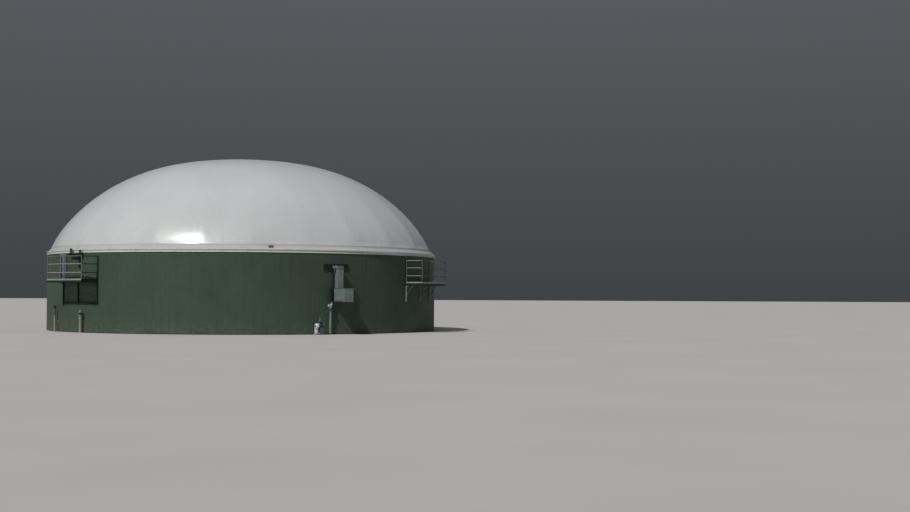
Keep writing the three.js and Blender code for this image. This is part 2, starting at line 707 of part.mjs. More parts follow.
// The air outlet lies on the skirt and the seam, so its back follows their outline
function addAirOutlet() {
  const { bearing, half, out, low, high } = AIR_OUTLET;
  const turn = -THREE.MathUtils.degToRad(bearing);
  const seamTop = SEAM_HEIGHT + 200;
  const cover = [
    [0, SKIRT_HEM],
    [SKIRT_OUTER + FIT_GAP, SKIRT_HEM],
    [SKIRT_OUTER + FIT_GAP, SKIRT_BEND],
    [SEAM_RADIUS + SKIRT_THICKNESS + 2 * FIT_GAP, SEAM_HEIGHT + FIT_GAP],
    [SEAM_RADIUS + FIT_GAP, SEAM_HEIGHT + FIT_GAP],
    [SEAM_RADIUS - 10, seamTop],
    [0, seamTop],
  ];
  const box = block(-half, half, SEAM_RADIUS - 20, out, low, high);
  const geometry = cut(box, turned(cover).rotateZ(turn));
  addNode(facing(bearing), "roof_air_outlet", geometry, material(COLOURS.darkSteel, 0.6));
}

addTank();
addRoof();
addCabinet(addPlatform("left", LEFT_PLATFORM));
addPlatform("right", RIGHT_PLATFORM);
addRopeGuide();
addBlower(addReliefUnit());
addRiserPipes();
addAirOutlet();

export default digester;
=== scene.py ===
"""The looks of a biogas digester: ribbed green cladding, a gas roof of coated cloth, two service
platforms, a gas relief unit, a support-air blower and riser pipes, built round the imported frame.

Metres, +Z up. The tank's axis is the origin, at the ground. Bearings are degrees round the axis:
0 faces -Y, and they grow towards +X. What stands on the wall is built in a frame turned to a
bearing: "along" runs beside the wall, and "out" is the distance from the axis, square to it.
"""

import math
import random
from collections import namedtuple
from itertools import product

import bmesh
import bpy
from mathutils import Matrix, Vector, noise


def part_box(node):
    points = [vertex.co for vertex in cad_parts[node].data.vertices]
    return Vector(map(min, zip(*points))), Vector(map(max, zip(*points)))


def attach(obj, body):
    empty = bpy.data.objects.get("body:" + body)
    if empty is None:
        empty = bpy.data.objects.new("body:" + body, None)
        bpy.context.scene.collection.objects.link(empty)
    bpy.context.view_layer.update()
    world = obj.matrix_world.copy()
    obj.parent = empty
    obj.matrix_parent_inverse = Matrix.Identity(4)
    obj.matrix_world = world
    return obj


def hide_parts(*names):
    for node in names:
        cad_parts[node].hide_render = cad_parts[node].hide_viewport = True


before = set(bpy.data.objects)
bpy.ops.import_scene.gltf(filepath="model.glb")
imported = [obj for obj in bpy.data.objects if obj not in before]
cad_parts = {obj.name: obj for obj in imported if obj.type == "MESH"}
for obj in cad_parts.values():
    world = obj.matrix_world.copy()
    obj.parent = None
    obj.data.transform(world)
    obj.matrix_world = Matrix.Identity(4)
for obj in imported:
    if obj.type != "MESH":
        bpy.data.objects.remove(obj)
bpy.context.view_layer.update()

# Directions in a frame turned to a bearing
ALONG, OUT, UP = (1, 0, 0), (0, 1, 0), (0, 0, 1)

# The corners of a 12-sided round lie this much further out than its flats
CORNER_REACH = 1 / math.cos(math.pi / 12)

# The cladding's trapezoidal sheets, in shares of a rib's pitch
SHEETS = 60
RIBS_PER_SHEET = 13
RIB_DEPTH = 0.0042
CROWN_SHARE = 0.54
SLOPE_SHARE = 0.15
LAP_SHARE = 0.20
SHEET_THICKNESS = 0.0015
SHEET_LEVELS = 6
SCREW_HEIGHTS = (0.16, 1.28, 2.40, 3.50)
SCREW_SPACING = 6
FOOT_RAIL_BACK = 9.32

# The gas roof: the same dome as the frame's, (r / R) ^ N + (h / H) ^ M = 1 above its base line
DOME_RADIUS = 9.38
DOME_BASE = 3.72
DOME_RISE = 4.68
DOME_PLAN_POWER = 2.53
DOME_RISE_POWER = 1.35
SEAM_HEIGHT = 3.90
GORES = 25
GORE_OFFSET = 2.6
GORE_FLATNESS = 0.42
GORE_SLACK = 0.42
FULLEST_BEARING = -42.0
CLOTH_INSET = 0.006
CLOTH_THICKNESS = 0.006
CLOTH_RINGS = 52
CLOTH_RING_SPACING = 1.15
CLOTH_COLUMNS_PER_GORE = 10
CLOTH_TOP = 0.985
STRIP_HALF_WIDTH = 0.028
STRIP_RINGS = CLOTH_RINGS - 6
SEAM_BAND_TOP = 0.022
APEX_PATCH_START = 0.9

# The weather skirt and the rail that clamps it
SKIRT_BEND = 3.735
SKIRT_QUARTERS = 4
SKIRT_STEP = 0.75
SKIRT_SLOPE_DIRT = 0.36
CLAMP_LENGTHS = 30
CLAMP_GAP = 0.02
CLAMP_BOLTS_PER_LENGTH = 7

# The service platforms
LEFT_PLATFORM_BEARING = -51.16
RIGHT_PLATFORM_BEARING = 60.38
RAILS = {"left": (2.695, 3.080, 3.425), "right": (2.660, 3.031, 3.370)}
PLATE = 0.008
BEAM_HEIGHT = 0.17
BEAM_INSET = 0.03
EDGE_HEIGHT = 0.075
BRACE_REACH, BRACE_DROP, BRACE_RADIUS = 0.372, 0.55, 0.019
POST_RADIUS = 0.0255
RAIL_RADIUS = 0.0200
GRATING_PANELS = 3
GRATING_PITCH = 0.0343
GRATING_ROD_PITCH = 0.10

# The rope guide and the hand winch
GUIDE_BEARING = -51.84
GUIDE_OUT = 9.625
WINCH_ALONG, WINCH_OUT, WINCH_AXLE = 0.200, 9.600, 3.340
WINCH_TURNS = 13

# The gas relief unit and the blower
RELIEF_BEARING = 25.66
DUCT_LIP = 0.03
HEADER_BARE = (-0.20, 0.10)
POT_RADIUS, POT_FLAT, POT_OUT = 0.086, 0.088, 9.600
POT_STRAP = 1.705
POT_PIPE_ALONG, POT_PIPE_TURN = -0.288, 2.086
ELBOW_ALONG, ELBOW_HEIGHT, ELBOW_NECK = -0.352, 1.272, 1.36
COLLAR_RADIUS = 0.098
VOLUTE_RADIUS = 0.118
MOTOR_FINS = 28

# The riser pipes and the air outlet
RISER_BEARINGS = (-49.0, -63.75)
RISER_OUT = 9.640
RISER_LIP = 0.028
FLANGE_BOLTS = 8
AIR_OUTLET_BEARING = 6.87

# Light and camera
SUN_BEARING = -42.0
SUN_ELEVATION = 50.0
SUN_STRENGTH = 3.2
SUN_WIDTH = 1.6
SUN_COLOUR = (1.0, 0.975, 0.94)
SKY_COLOUR = (0.86, 0.92, 1.0)
SIDE_LIGHT = 0.06
TOP_LIGHT = 0.32
CAMERA_DISTANCE = 73.26
CAMERA_HEIGHT = 1.79
CAMERA_YAW = 8.26
CAMERA_PITCH = 1.53
CAMERA_ROLL = 0.29
LENS = 57.36
FLOOR_SIZE = 400.0


# Numbers, places and outlines
def smooth(low, high, value):
    """0 up to low, 1 from high on, and a smooth step between."""
    share = min(max((value - low) / (high - low), 0.0), 1.0)
    return share * share * (3 - 2 * share)


def wobble(*place):
    """Smooth noise between about -1 and 1, the same on each run."""
    return noise.noise(Vector(place))


def about(centre, half):
    """The two ends that lie half a width either side of a centre."""
    return centre - half, centre + half


def onward(start, length):
    return start, start + length


def inset(ends, near, far=None):
    """Two ends brought in, the first by near and the second by far, or both by near."""
    return ends[0] + near, ends[1] - (near if far is None else far)


def middle(ends):
    return (ends[0] + ends[1]) / 2


def spread(low, high, count):
    """Evenly spaced places from low to high."""
    return [low + (high - low) * i / (count - 1) for i in range(count)]


def centres(ends, count):
    """The centres of equal lengths between two ends."""
    return [ends[0] + (ends[1] - ends[0]) * (i + 0.5) / count for i in range(count)]


def circle(count, radius, start=0.0):
    """Points on a circle. Start is the first one's place, as a share of their spacing."""
    turns = [2 * math.pi * (k + start) / count for k in range(count)]
    return [(radius * math.cos(turn), radius * math.sin(turn)) for turn in turns]


def around(bearing, radius, z):
    """A point on a circle round the tank, in the frame that faces bearing 0."""
    turn = math.radians(bearing)
    return (radius * math.sin(turn), radius * math.cos(turn), z)


def mirrored(half, length):
    """A profile of (distance, radius) pairs, given from one end to its middle."""
    return half + [(length - distance, radius) for distance, radius in reversed(half)]


def folded(half, total=0.0):
    """An outline of (x, y) points, given from its foot to half its height."""
    return half + [(x, total - y) for x, y in reversed(half)]


def channel(width, height):
    """A C-section's outline, its back at x 0 and its flanges towards +x."""
    half, inner = height / 2, height / 2 - PLATE
    return folded([(0, -half), (width, -half), (width, -inner), (PLATE, -inner)])


def bend(start, corner, end, radius, steps=8):
    """A path from start to end that turns at a corner, with a round bend."""
    start, corner, end = Vector(start), Vector(corner), Vector(end)
    before = (start - corner).normalized()
    after = (end - corner).normalized()
    cut = radius / math.tan(before.angle(after) / 2)
    centre = corner + (before + after).normalized() * math.hypot(radius, cut)
    first = corner + before * cut - centre
    last = corner + after * cut - centre
    sweep = first.angle(last)
    path = [start]
    for share in spread(0, 1, steps + 1):
        place = first * math.sin((1 - share) * sweep) + last * math.sin(share * sweep)
        path.append(centre + place / math.sin(sweep))
    return path + [end]


# What the frame gives
class Span(namedtuple("Span", "left right back front low high")):
    """An extent along the wall, out from the axis, and up."""

    wide = property(lambda box: (box.left, box.right))
    deep = property(lambda box: (box.back, box.front))
    tall = property(lambda box: (box.low, box.high))


def span(node, bearing):
    """A frame node's extent in a frame turned to a bearing."""
    turn = Matrix.Rotation(-math.radians(bearing), 3, "Z")
    places = [turn @ vertex.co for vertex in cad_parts[node].data.vertices]
    ends = []
    for values in ([at.x for at in places], [-at.y for at in places], [at.z for at in places]):
        ends += [min(values), max(values)]
    return Span(*ends)


def outer_radius(node):
    """A ring-shaped frame node's largest distance from the axis."""
    return max(vertex.co.xy.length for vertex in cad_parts[node].data.vertices)


WALL = outer_radius("cladding_1")
SKIRT_RADIUS = outer_radius("membrane_skirt") - 0.012
SKIRT_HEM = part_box("membrane_skirt")[0].z
DRAIN_BOX = span("drain_collar", RELIEF_BEARING)
DRAIN_ALONG = middle(DRAIN_BOX.wide)
DRAIN_OUT = middle(DRAIN_BOX.deep)


def wall_at(along):
    """The cladding's distance out, at a place along the wall."""
    return math.sqrt(WALL**2 - along**2)


def bearing_of(along, radius):
    """How far round the tank a place along the wall is."""
    return math.degrees(math.asin(along / radius))


# Materials
class Look:
    """A material in the making. Its helpers add nodes, and return their output sockets."""

    def __init__(self, name, roughness, metallic=0.0, **sockets):
        self.material = bpy.data.materials.new(name)
        self.material.use_nodes = True
        self.tree = self.material.node_tree
        self.shader = self.tree.nodes["Principled BSDF"]
        self.fill(self.shader, {"Roughness": roughness, "Metallic": metallic, **sockets})
        self.place = self.node("ShaderNodeTexCoord").outputs["Object"]

    def fill(self, node, inputs):
        for name, value in inputs.items():
            if isinstance(value, bpy.types.NodeSocket):
                self.tree.links.new(value, node.inputs[name])
            else:
                node.inputs[name].default_value = value

    def node(self, kind, inputs=None, **settings):
        node = self.tree.nodes.new(kind)
        for name, value in settings.items():
            setattr(node, name, value)
        self.fill(node, inputs or {})
        return node

    def noise(self, scale, detail=3.0, stretch=1.0):
        """Noise. Stretch is its scale up the object, as a share of the scale across."""
        inputs = {"Vector": self.place, "Scale": (1.0, 1.0, stretch)}
        place = self.node("ShaderNodeMapping", inputs).outputs[0]
        return self.node("ShaderNodeTexNoise", {"Vector": place, "Scale": scale, "Detail": detail}).outputs[0]

    def level(self, value, low, high, to_low=0.0, to_high=1.0):
        inputs = {"Value": value, "From Min": low, "From Max": high, "To Min": to_low, "To Max": to_high}
        return self.node("ShaderNodeMapRange", inputs).outputs[0]

    def patches(self, scale, detail, low=0.3, high=0.7, to_high=1.0, stretch=1.0):
        return self.level(self.noise(scale, detail, stretch), low, high, 0.0, to_high)

    def times(self, a, b):
        return self.node("ShaderNodeMath", {0: a, 1: b}, operation="MULTIPLY").outputs[0]

    def tone(self):
        return self.node("ShaderNodeAttribute", attribute_name="tone").outputs["Fac"]

    def near_foot(self, low, high, share=0.0):
        """1 up to the height low, falling to a share from the height high on."""
        height = self.node("ShaderNodeSeparateXYZ", {"Vector": self.place}).outputs["Z"]
        return self.level(height, low, high, 1.0, share)

    def blend(self, share, first, second):
        inputs = {"Fac": share, "Color1": colour(first), "Color2": colour(second)}
        return self.node("ShaderNodeMixRGB", inputs).outputs["Color"]

    def finish(self, paint, bump_noise, bump_distance, bump_strength):
        """Sets the colour and the grain, and gives the material."""
        inputs = {"Height": bump_noise, "Distance": bump_distance, "Strength": bump_strength}
        normal = self.node("ShaderNodeBump", inputs).outputs["Normal"]
        self.fill(self.shader, {"Base Color": paint, "Normal": normal})
        return self.material

    def roughen(self, scale, low, high):
        self.fill(self.shader, {"Roughness": self.level(self.noise(scale), 0.3, 0.7, low, high)})


def colour(value):
    """A colour as a shader socket takes it. A socket stays as it is."""
    return value if isinstance(value, bpy.types.NodeSocket) else (*value, 1.0)


def scaled(value, factor):
    return tuple(part * factor for part in value)


def membrane_look(name, base, dirt_share):
    """Coated cloth: satin, with wide soft changes of tone, faint runs of dirt, and a fine weave."""
    look = Look(name, roughness=0.3)
    patches = look.patches(0.45, 2.0, 0.35, 0.65)
    cloth = look.blend(patches, scaled(base, 0.97), scaled(base, 1.03))
    runs = look.patches(2.6, 5.0, 0.52, 0.78, stretch=0.12)
    dirt = look.times(look.times(runs, look.near_foot(3.6, 5.2, 0.25)), dirt_share)
    stained = look.blend(dirt, cloth, scaled(base, 0.55))
    look.roughen(5.0, 0.23, 0.29)
    toned = look.blend(look.tone(), stained, scaled(base, 0.4))
    return look.finish(toned, look.noise(900.0, 1.0), 0.0003, 0.5)


def paint_look(name, base, roughness=0.4, dust=0.35):
    """Coated sheet: slightly uneven, with faint runs of rain dirt, and dust near the ground."""
    look = Look(name, roughness, **{"Specular IOR Level": 0.3})
    patches = look.patches(0.7, 4.0)
    coat = look.blend(patches, scaled(base, 0.90), scaled(base, 1.10))
    runs = look.patches(9.0, 6.0, 0.50, 0.80, 0.45, stretch=0.05)
    streaked = look.blend(runs, coat, scaled(base, 0.62))
    toned = look.blend(look.tone(), streaked, scaled(base, 0.3))
    splashes = look.patches(6.0, 6.0, 0.35, 0.75)
    settled = look.times(look.times(look.near_foot(0.05, 0.75), splashes), dust)
    look.roughen(4.0, roughness - 0.06, roughness + 0.10)
    return look.finish(look.blend(settled, toned, (0.19, 0.155, 0.11)), look.noise(60.0), 0.001, 0.3)


def metal_look(name, base, roughness, metallic=0.2, grain=22.0):
    """Zinc-coated or plain steel: spangles of slightly different tone, with duller patches."""
    look = Look(name, roughness, metallic)
    spangles = look.node("ShaderNodeTexVoronoi", {"Vector": look.place, "Scale": grain}).outputs["Color"]
    zinc = look.blend(spangles, scaled(base, 0.84), scaled(base, 1.14))
    dull = look.patches(5.0, 6.0, 0.45, 0.75, 0.6)
    look.roughen(14.0, roughness - 0.08, roughness + 0.12)
    return look.finish(look.blend(dull, zinc, scaled(base, 0.72)), look.noise(180.0), 0.0006, 0.4)


def plastic_look(name, base, roughness):
    """Moulded plastic or rubber: weathered tone, faint dirt, and a fine moulding grain."""
    look = Look(name, roughness)
    patches = look.patches(3.0, 5.0)
    body = look.blend(patches, scaled(base, 0.93), scaled(base, 1.05))
    dirt = look.patches(11.0, 7.0, 0.50, 0.80, 0.3, stretch=0.25)
    look.roughen(20.0, roughness - 0.05, roughness + 0.12)
    return look.finish(look.blend(dirt, body, scaled(base, 0.45)), look.noise(350.0), 0.0005, 0.4)


def concrete_look():
    """Cast concrete: blotches and pores."""
    look = Look("concrete", roughness=0.9)
    blotches = look.patches(1.1, 7.0)
    cast = look.blend(blotches, (0.40, 0.39, 0.36), (0.55, 0.54, 0.50))
    pores = look.patches(45.0, 6.0, 0.60, 0.72, 0.6)
    return look.finish(look.blend(pores, cast, (0.22, 0.21, 0.20)), look.noise(30.0, 8.0), 0.004, 0.6)


def floor_look():
    """A plain pale floor with the faintest unevenness."""
    look = Look("floor", roughness=0.85)
    patches = look.patches(0.25, 2.0)
    look.fill(look.shader, {"Base Color": look.blend(patches, (0.395, 0.39, 0.38), (0.415, 0.41, 0.40))})
    return look.material


MEMBRANE = membrane_look("membrane", (0.455, 0.475, 0.482), 0.2)
SEAM_BAND = membrane_look("membrane_seam", (0.42, 0.425, 0.42), 0.3)
SKIRT = membrane_look("skirt", (0.51, 0.525, 0.515), 0.4)
GREEN = paint_look("cladding_green", (0.046, 0.072, 0.051), 0.5)
GREEN_TRIM = paint_look("trim_green", (0.040, 0.058, 0.044))
ZINC = metal_look("galvanised", (0.27, 0.295, 0.285), 0.55)
# Darker copies of the zinc follow. On the right platform and on the valve bracket they are painted shade.
DIM_ZINC = metal_look("dim_zinc", (0.20, 0.22, 0.21), 0.6)
HANDRAIL = metal_look("handrail_zinc", (0.12, 0.14, 0.128), 0.6)
DARK_ZINC = metal_look("dark_zinc", (0.075, 0.085, 0.078), 0.6)
GRATING = metal_look("grating_zinc", (0.26, 0.28, 0.275), 0.55)
STAINLESS = metal_look("stainless", (0.57, 0.58, 0.575), 0.5, 0.1, grain=90.0)
DUCT = metal_look("duct_sheet", (0.172, 0.210, 0.205), 0.48, grain=9.0)
BOLT = metal_look("bolt_steel", (0.24, 0.25, 0.25), 0.5, 0.3, grain=300.0)
DARK = paint_look("dark_paint", (0.005, 0.014, 0.008), 0.55, dust=0.2)
DARK_GREY = paint_look("grey_paint", (0.045, 0.052, 0.050), 0.5, dust=0.2)
RUBBER = plastic_look("rubber", (0.014, 0.015, 0.016), 0.6)
WHITE_PLASTIC = plastic_look("white_plastic", (0.58, 0.61, 0.60), 0.38)
ELBOW_PLASTIC = plastic_look("elbow_plastic", (0.34, 0.39, 0.34), 0.42)
DRAIN_PIPE = plastic_look("drain_pipe", (0.16, 0.195, 0.16), 0.42)
GREY_PIPE = plastic_look("grey_pipe", (0.21, 0.255, 0.21), 0.42)
CABINET = paint_look("cabinet_paint", (0.126, 0.152, 0.170), 0.5, dust=0.0)
MOTOR = paint_look("motor_paint", (0.062, 0.086, 0.104), 0.4)
PALE_BLUE = plastic_look("pale_blue", (0.075, 0.105, 0.115), 0.45)
TEAL = plastic_look("teal_hose", (0.030, 0.048, 0.046), 0.5)
CONCRETE = concrete_look()
FLOOR = floor_look()


# Shapes
def chamfered_faces():
    """The faces of a block whose corner c has the points 3c, 3c + 1 and 3c + 2, one on each flat."""
    faces = [[3 * corner, 3 * corner + 1, 3 * corner + 2] for corner in range(8)]
    for axis in range(3):
        first, second = (axis + 1) % 3, (axis + 2) % 3
        sides = (0, 1 << first, (1 << first) + (1 << second), 1 << second)
        step = 1 << axis
        for end in (0, step):
            faces.append([3 * (end + side) + axis for side in sides])
        for side in sides:
            near, far = 3 * side, 3 * (side + step)
            faces.append([near + first, far + first, far + second, near + second])
    return faces


BLOCK_FACES = chamfered_faces()
BLOCK_CORNERS = [(corner & 1, corner >> 1 & 1, corner >> 2 & 1) for corner in range(8)]


class Part:
    """One mesh in the making, of closed shapes. It stands for a frame node, whose extent is its box.
    Points are given as (along, out, z)."""

    def __init__(self, name, bearing=0.0, node=None):
        self.name = name
        self.node = node
        self.box = node and span(node, bearing)
        self.points = []
        self.faces = []
        self.look_ids = []
        self.looks = []
        self.tones = []
        self.face_to(bearing)

    def face_to(self, bearing):
        self.turn = Matrix.Rotation(math.radians(bearing), 3, "Z")

    def add(self, points, faces, look, tone=0.0):
        if look not in self.looks:
            self.looks.append(look)
        start = len(self.points)
        self.points += [self.turn @ Vector((along, -out, z)) for along, out, z in points]
        self.tones += [tone] * len(points)
        self.faces += [[start + i for i in face] for face in faces]
        self.look_ids += [self.looks.index(look)] * len(faces)

    def block(self, look, along, out, z, edge=0.003):
        """A block with chamfered edges, between two places along, two out and two heights."""
        ends = (along, out, z)
        edge = min(edge, *(0.4 * abs(high - low) for low, high in ends))
        points = []
        for corner, flat in product(BLOCK_CORNERS, range(3)):
            point = []
            for axis, (low, high) in enumerate(ends):
                cut = 0.0 if axis == flat else edge
                point.append(high - cut if corner[axis] else low + cut)
            points.append(point)
        self.add(points, BLOCK_FACES, look)

    def prism(self, look, outline, start, end, across):
        """An outline pushed from start to end. Its own x runs towards across."""
        start, end, across = Vector(start), Vector(end), Vector(across)
        axis = (end - start).normalized()
        x = (across - axis * across.dot(axis)).normalized()
        y = axis.cross(x)
        ring = [x * u + y * v for u, v in outline]
        self.rings(look, [place + offset for place in (start, end) for offset in ring], len(ring), 2)

    def tube(self, look, path, radius, sides=16):
        """A round bar along a path, with closed ends."""
        path = [Vector(place) for place in path]
        points = []
        side = None
        for before, place, after in zip(path[:1] + path, path, path[1:] + path[-1:]):
            axis = (after - before).normalized()
            side = axis.orthogonal() if side is None else side - axis * side.dot(axis)
            side.normalize()
            other = axis.cross(side)
            points += [place + side * x + other * y for x, y in circle(sides, radius)]
        self.rings(look, points, sides, len(path))

    def turned(self, look, start, profile, sides=16, axis=UP):
        """A body of revolution. The profile has pairs of distance along the axis and radius."""
        start, axis = Vector(start), Vector(axis).normalized()
        side = axis.orthogonal().normalized()
        other = axis.cross(side)
        points = []
        for distance, radius in profile:
            centre = start + axis * distance
            points += [centre + side * x + other * y for x, y in circle(sides, radius, 0.5)]
        self.rings(look, points, sides, len(profile))

    def band(self, look, start, radius, height, sides=32, axis=UP):
        self.turned(look, start, [(0, radius), (height, radius)], sides, axis)

    def rings(self, look, points, sides, count, closed=False, tone=0.0):
        """Joins rings of points, into a closed loop or into a body with flat ends."""
        faces = []
        if not closed:
            faces = [list(range(sides)), list(range((count - 1) * sides, count * sides))]
        for ring, k in product(range(count if closed else count - 1), range(sides)):
            after = (k + 1) % sides
            low, high = ring * sides, (ring + 1) % count * sides
            faces.append([low + k, low + after, high + after, high + k])
        self.add(points, faces, look, tone)

    def bolt(self, at, axis, size, look=BOLT):
        """A washer and a hexagon head. Size is the thread's diameter."""
        washer = 0.18 * size
        self.turned(look, at, [(-0.002, 1.1 * size), (washer, 1.1 * size)], 12, axis)
        head = [(washer - 0.001, 0.9 * size), (0.7 * size, 0.9 * size), (0.8 * size, 0.72 * size)]
        self.turned(look, at, head, 6, axis)

    def bolts(self, alongs, outs, heights, axis, size):
        """A bolt at each place that these three lists give together."""
        for at in product(alongs, outs, heights):
            self.bolt(at, axis, size)

    def wall_bolt(self, bearing, radius, z, size, look=BOLT):
        """A bolt that points straight out from the tank's axis."""
        self.bolt(around(bearing, radius, z), around(bearing, 1, 0), size, look)

    def flange(self, look, at, radius, thickness, bolt_size, axis=UP):
        """A round flange with a ring of bolts on its face."""
        rim = 0.15 * thickness
        self.turned(look, at, mirrored([(0, radius - rim), (rim, radius)], thickness), 32, axis)
        at, axis = Vector(at), Vector(axis)
        side = axis.orthogonal().normalized()
        other = axis.cross(side)
        for x, y in circle(FLANGE_BOLTS, radius - 1.5 * bolt_size, 0.5):
            self.bolt(at + axis * thickness + side * x + other * y, axis, bolt_size)

    def sweep(self, look, outline, bearings, closed=False, tone=0.0):
        """An outline of (radius, z) points carried round the tank's axis."""
        points = [around(bearing, *point) for bearing in bearings for point in outline]
        self.rings(look, points, len(outline), len(bearings), closed, tone)

    def shell(self, look, outer, inner, wrap=False, tone=0.0):
        """A thin closed sheet between two grids of points. With wrap, its columns close on themselves."""
        rows, columns = len(outer), len(outer[0])
        faces = []

        def quad(*corners):
            faces.append([(side * rows + row) * columns + column % columns for side, row, column in corners])

        for column in range(columns if wrap else columns - 1):
            after = column + 1
            for row, side in product(range(rows - 1), (0, 1)):
                quad((side, row, column), (side, row, after), (side, row + 1, after), (side, row + 1, column))
            for row in (0, rows - 1):
                quad((0, row, column), (0, row, after), (1, row, after), (1, row, column))
        if not wrap:
            for row, column in product(range(rows - 1), (0, columns - 1)):
                quad((0, row, column), (0, row + 1, column), (1, row + 1, column), (1, row, column))
        self.add([point for grid in (outer, inner) for row in grid for point in row], faces, look, tone)

    def finish(self, slot, sharp=35):
        """Makes the object, which rides on the frame."""
        mesh = bpy.data.meshes.new(self.name)
        mesh.from_pydata(self.points, [], self.faces)
        for look in self.looks:
            mesh.materials.append(look)
        mesh.polygons.foreach_set("material_index", self.look_ids)
        mesh.attributes.new("tone", "FLOAT", "POINT").data.foreach_set("value", self.tones)
        build = bmesh.new()
        build.from_mesh(mesh)
        bmesh.ops.recalc_face_normals(build, faces=build.faces)
        build.to_mesh(mesh)
        build.free()
        mesh.polygons.foreach_set("use_smooth", [True] * len(mesh.polygons))
        mesh.set_sharp_from_angle(angle=math.radians(sharp))
        piece = bpy.data.objects.new(self.name, mesh)
        bpy.context.scene.collection.objects.link(piece)
        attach(piece, "root")
        if self.node:
            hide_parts(self.node)
        return piece


# The tank: its concrete keeps the frame's own shapes
def dress_tank():
    for name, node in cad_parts.items():
        if name.startswith("tank_"):
            node.data.materials.clear()
            node.data.materials.append(CONCRETE)


def sheet_profile():
    """One cladding sheet's outline as pairs of place, in rib pitches, and depth behind the crowns."""
    crown = CROWN_SHARE / 2
    slope = crown + SLOPE_SHARE
    profile = [(-LAP_SHARE, -SHEET_THICKNESS), (crown, -SHEET_THICKNESS)]
    for rib in range(RIBS_PER_SHEET):
        if rib:
            profile.append((rib + crown, 0.0))
        profile += [(rib + slope, RIB_DEPTH), (rib + 1 - slope, RIB_DEPTH), (rib + 1 - crown, 0.0)]
    return profile + [(RIBS_PER_SHEET + LAP_SHARE, 0.0)]


def add_sheet(part, index, low, high, tone):
    """One ribbed sheet from foot to top, very slightly wavy, lapped over the one before it."""
    crown_radius = WALL - 2 * SHEET_THICKNESS
    pitch = 360 / (SHEETS * RIBS_PER_SHEET)
    start = index * RIBS_PER_SHEET * pitch
    grids = ([], [])
    for z in spread(low, high, SHEET_LEVELS):
        for grid, thickness in zip(grids, (0.0, SHEET_THICKNESS)):
            row = []
            for place, depth in sheet_profile():
                wave = abs(0.0010 * wobble(index * 3.7 + place * 0.4, z * 0.8, 2.0))
                row.append(around(start + place * pitch, crown_radius - depth - thickness - wave, z))
            grid.append(row)
    part.shell(GREEN, *grids, tone=tone)
    for rib, z in product(range(0, RIBS_PER_SHEET, SCREW_SPACING), SCREW_HEIGHTS):
        valley = crown_radius - RIB_DEPTH - 0.001
        part.wall_bolt(start + (rib + 0.5) * pitch, valley, z, 0.0065, GREEN_TRIM)


def add_cladding():
    """The sheets of each of the frame's segments, and the rail that they stand on."""
    segments = sum(name.startswith("cladding_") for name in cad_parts)
    per_segment = SHEETS // segments
    low, high = span("cladding_1", 0).tall
    random_tone = random.Random(7)
    for segment in range(segments):
        part = Part(f"cladding_sheets_{segment + 1}", node=f"cladding_{segment + 1}")
        for i in range(per_segment):
            tone = random_tone.uniform(0.0, 0.06)
            add_sheet(part, segment * per_segment + i, low + 0.012, high - 0.02, tone)
        part.finish("cladding", sharp=20)

    rail = Part("cladding_foot_rail")
    front = WALL - 0.004
    drip = [(FOOT_RAIL_BACK, low + 0.004), (front, low), (front, low + 0.010), (9.46, low + 0.013),
            (FOOT_RAIL_BACK, low + 0.013)]
    rail.sweep(GREEN_TRIM, drip, [3.75 * i for i in range(96)], closed=True)
    rail.finish("cladding")


# The gas roof
def dome_point(share):
    """The dome's radius and height, from 0 at the seam to 1 at the top."""
    seam_angle = math.asin(((SEAM_HEIGHT - DOME_BASE) / DOME_RISE) ** (DOME_RISE_POWER / 2))
    angle = seam_angle + (math.pi / 2 - seam_angle) * share
    radius = DOME_RADIUS * max(math.cos(angle), 0.0) ** (2 / DOME_PLAN_POWER)
    return radius, DOME_BASE + DOME_RISE * math.sin(angle) ** (2 / DOME_RISE_POWER)


SEAM_RADIUS = dome_point(0.0)[0]


def dome_surface(share, bearing, lift=0.0):
    """A point of the stretched roof. Between its seams each gore lies flatter than the dome, most so
    near the rim and away from the fullest bearing."""
    radius, z = dome_point(share)
    gore = ((bearing - GORE_OFFSET) / (360 / GORES)) % 1.0
    above = z - SEAM_HEIGHT
    away = 0.5 - 0.5 * math.cos(math.radians(bearing - FULLEST_BEARING))
    flatness = GORE_FLATNESS + GORE_SLACK * smooth(0.1, 0.5, away)
    flatness *= smooth(0.0, 0.25, above) * (1 - 0.85 * smooth(0.8, 3.6, above))
    sagitta = radius * (1 - math.cos(math.pi / GORES)) * flatness
    drop = sagitta * (1 - (2 * gore - 1) ** 2)
    return around(bearing, radius - drop - CLOTH_INSET + lift, z + (lift - CLOTH_INSET) * share)


def add_weld_strip(roof, seam, shares):
    """The strip welded over one seam. It keeps its width towards the top, where the gores narrow."""
    grids = []
    for lift in (0.0012, -0.002):
        rows = []
        for share in shares:
            half = math.degrees(STRIP_HALF_WIDTH / SEAM_RADIUS) * min(SEAM_RADIUS / dome_point(share)[0], 6.0)
            rows.append([dome_surface(share, bearing, lift) for bearing in about(seam, half)])
        grids.append(rows)
    roof.shell(MEMBRANE, *grids, tone=0.01)


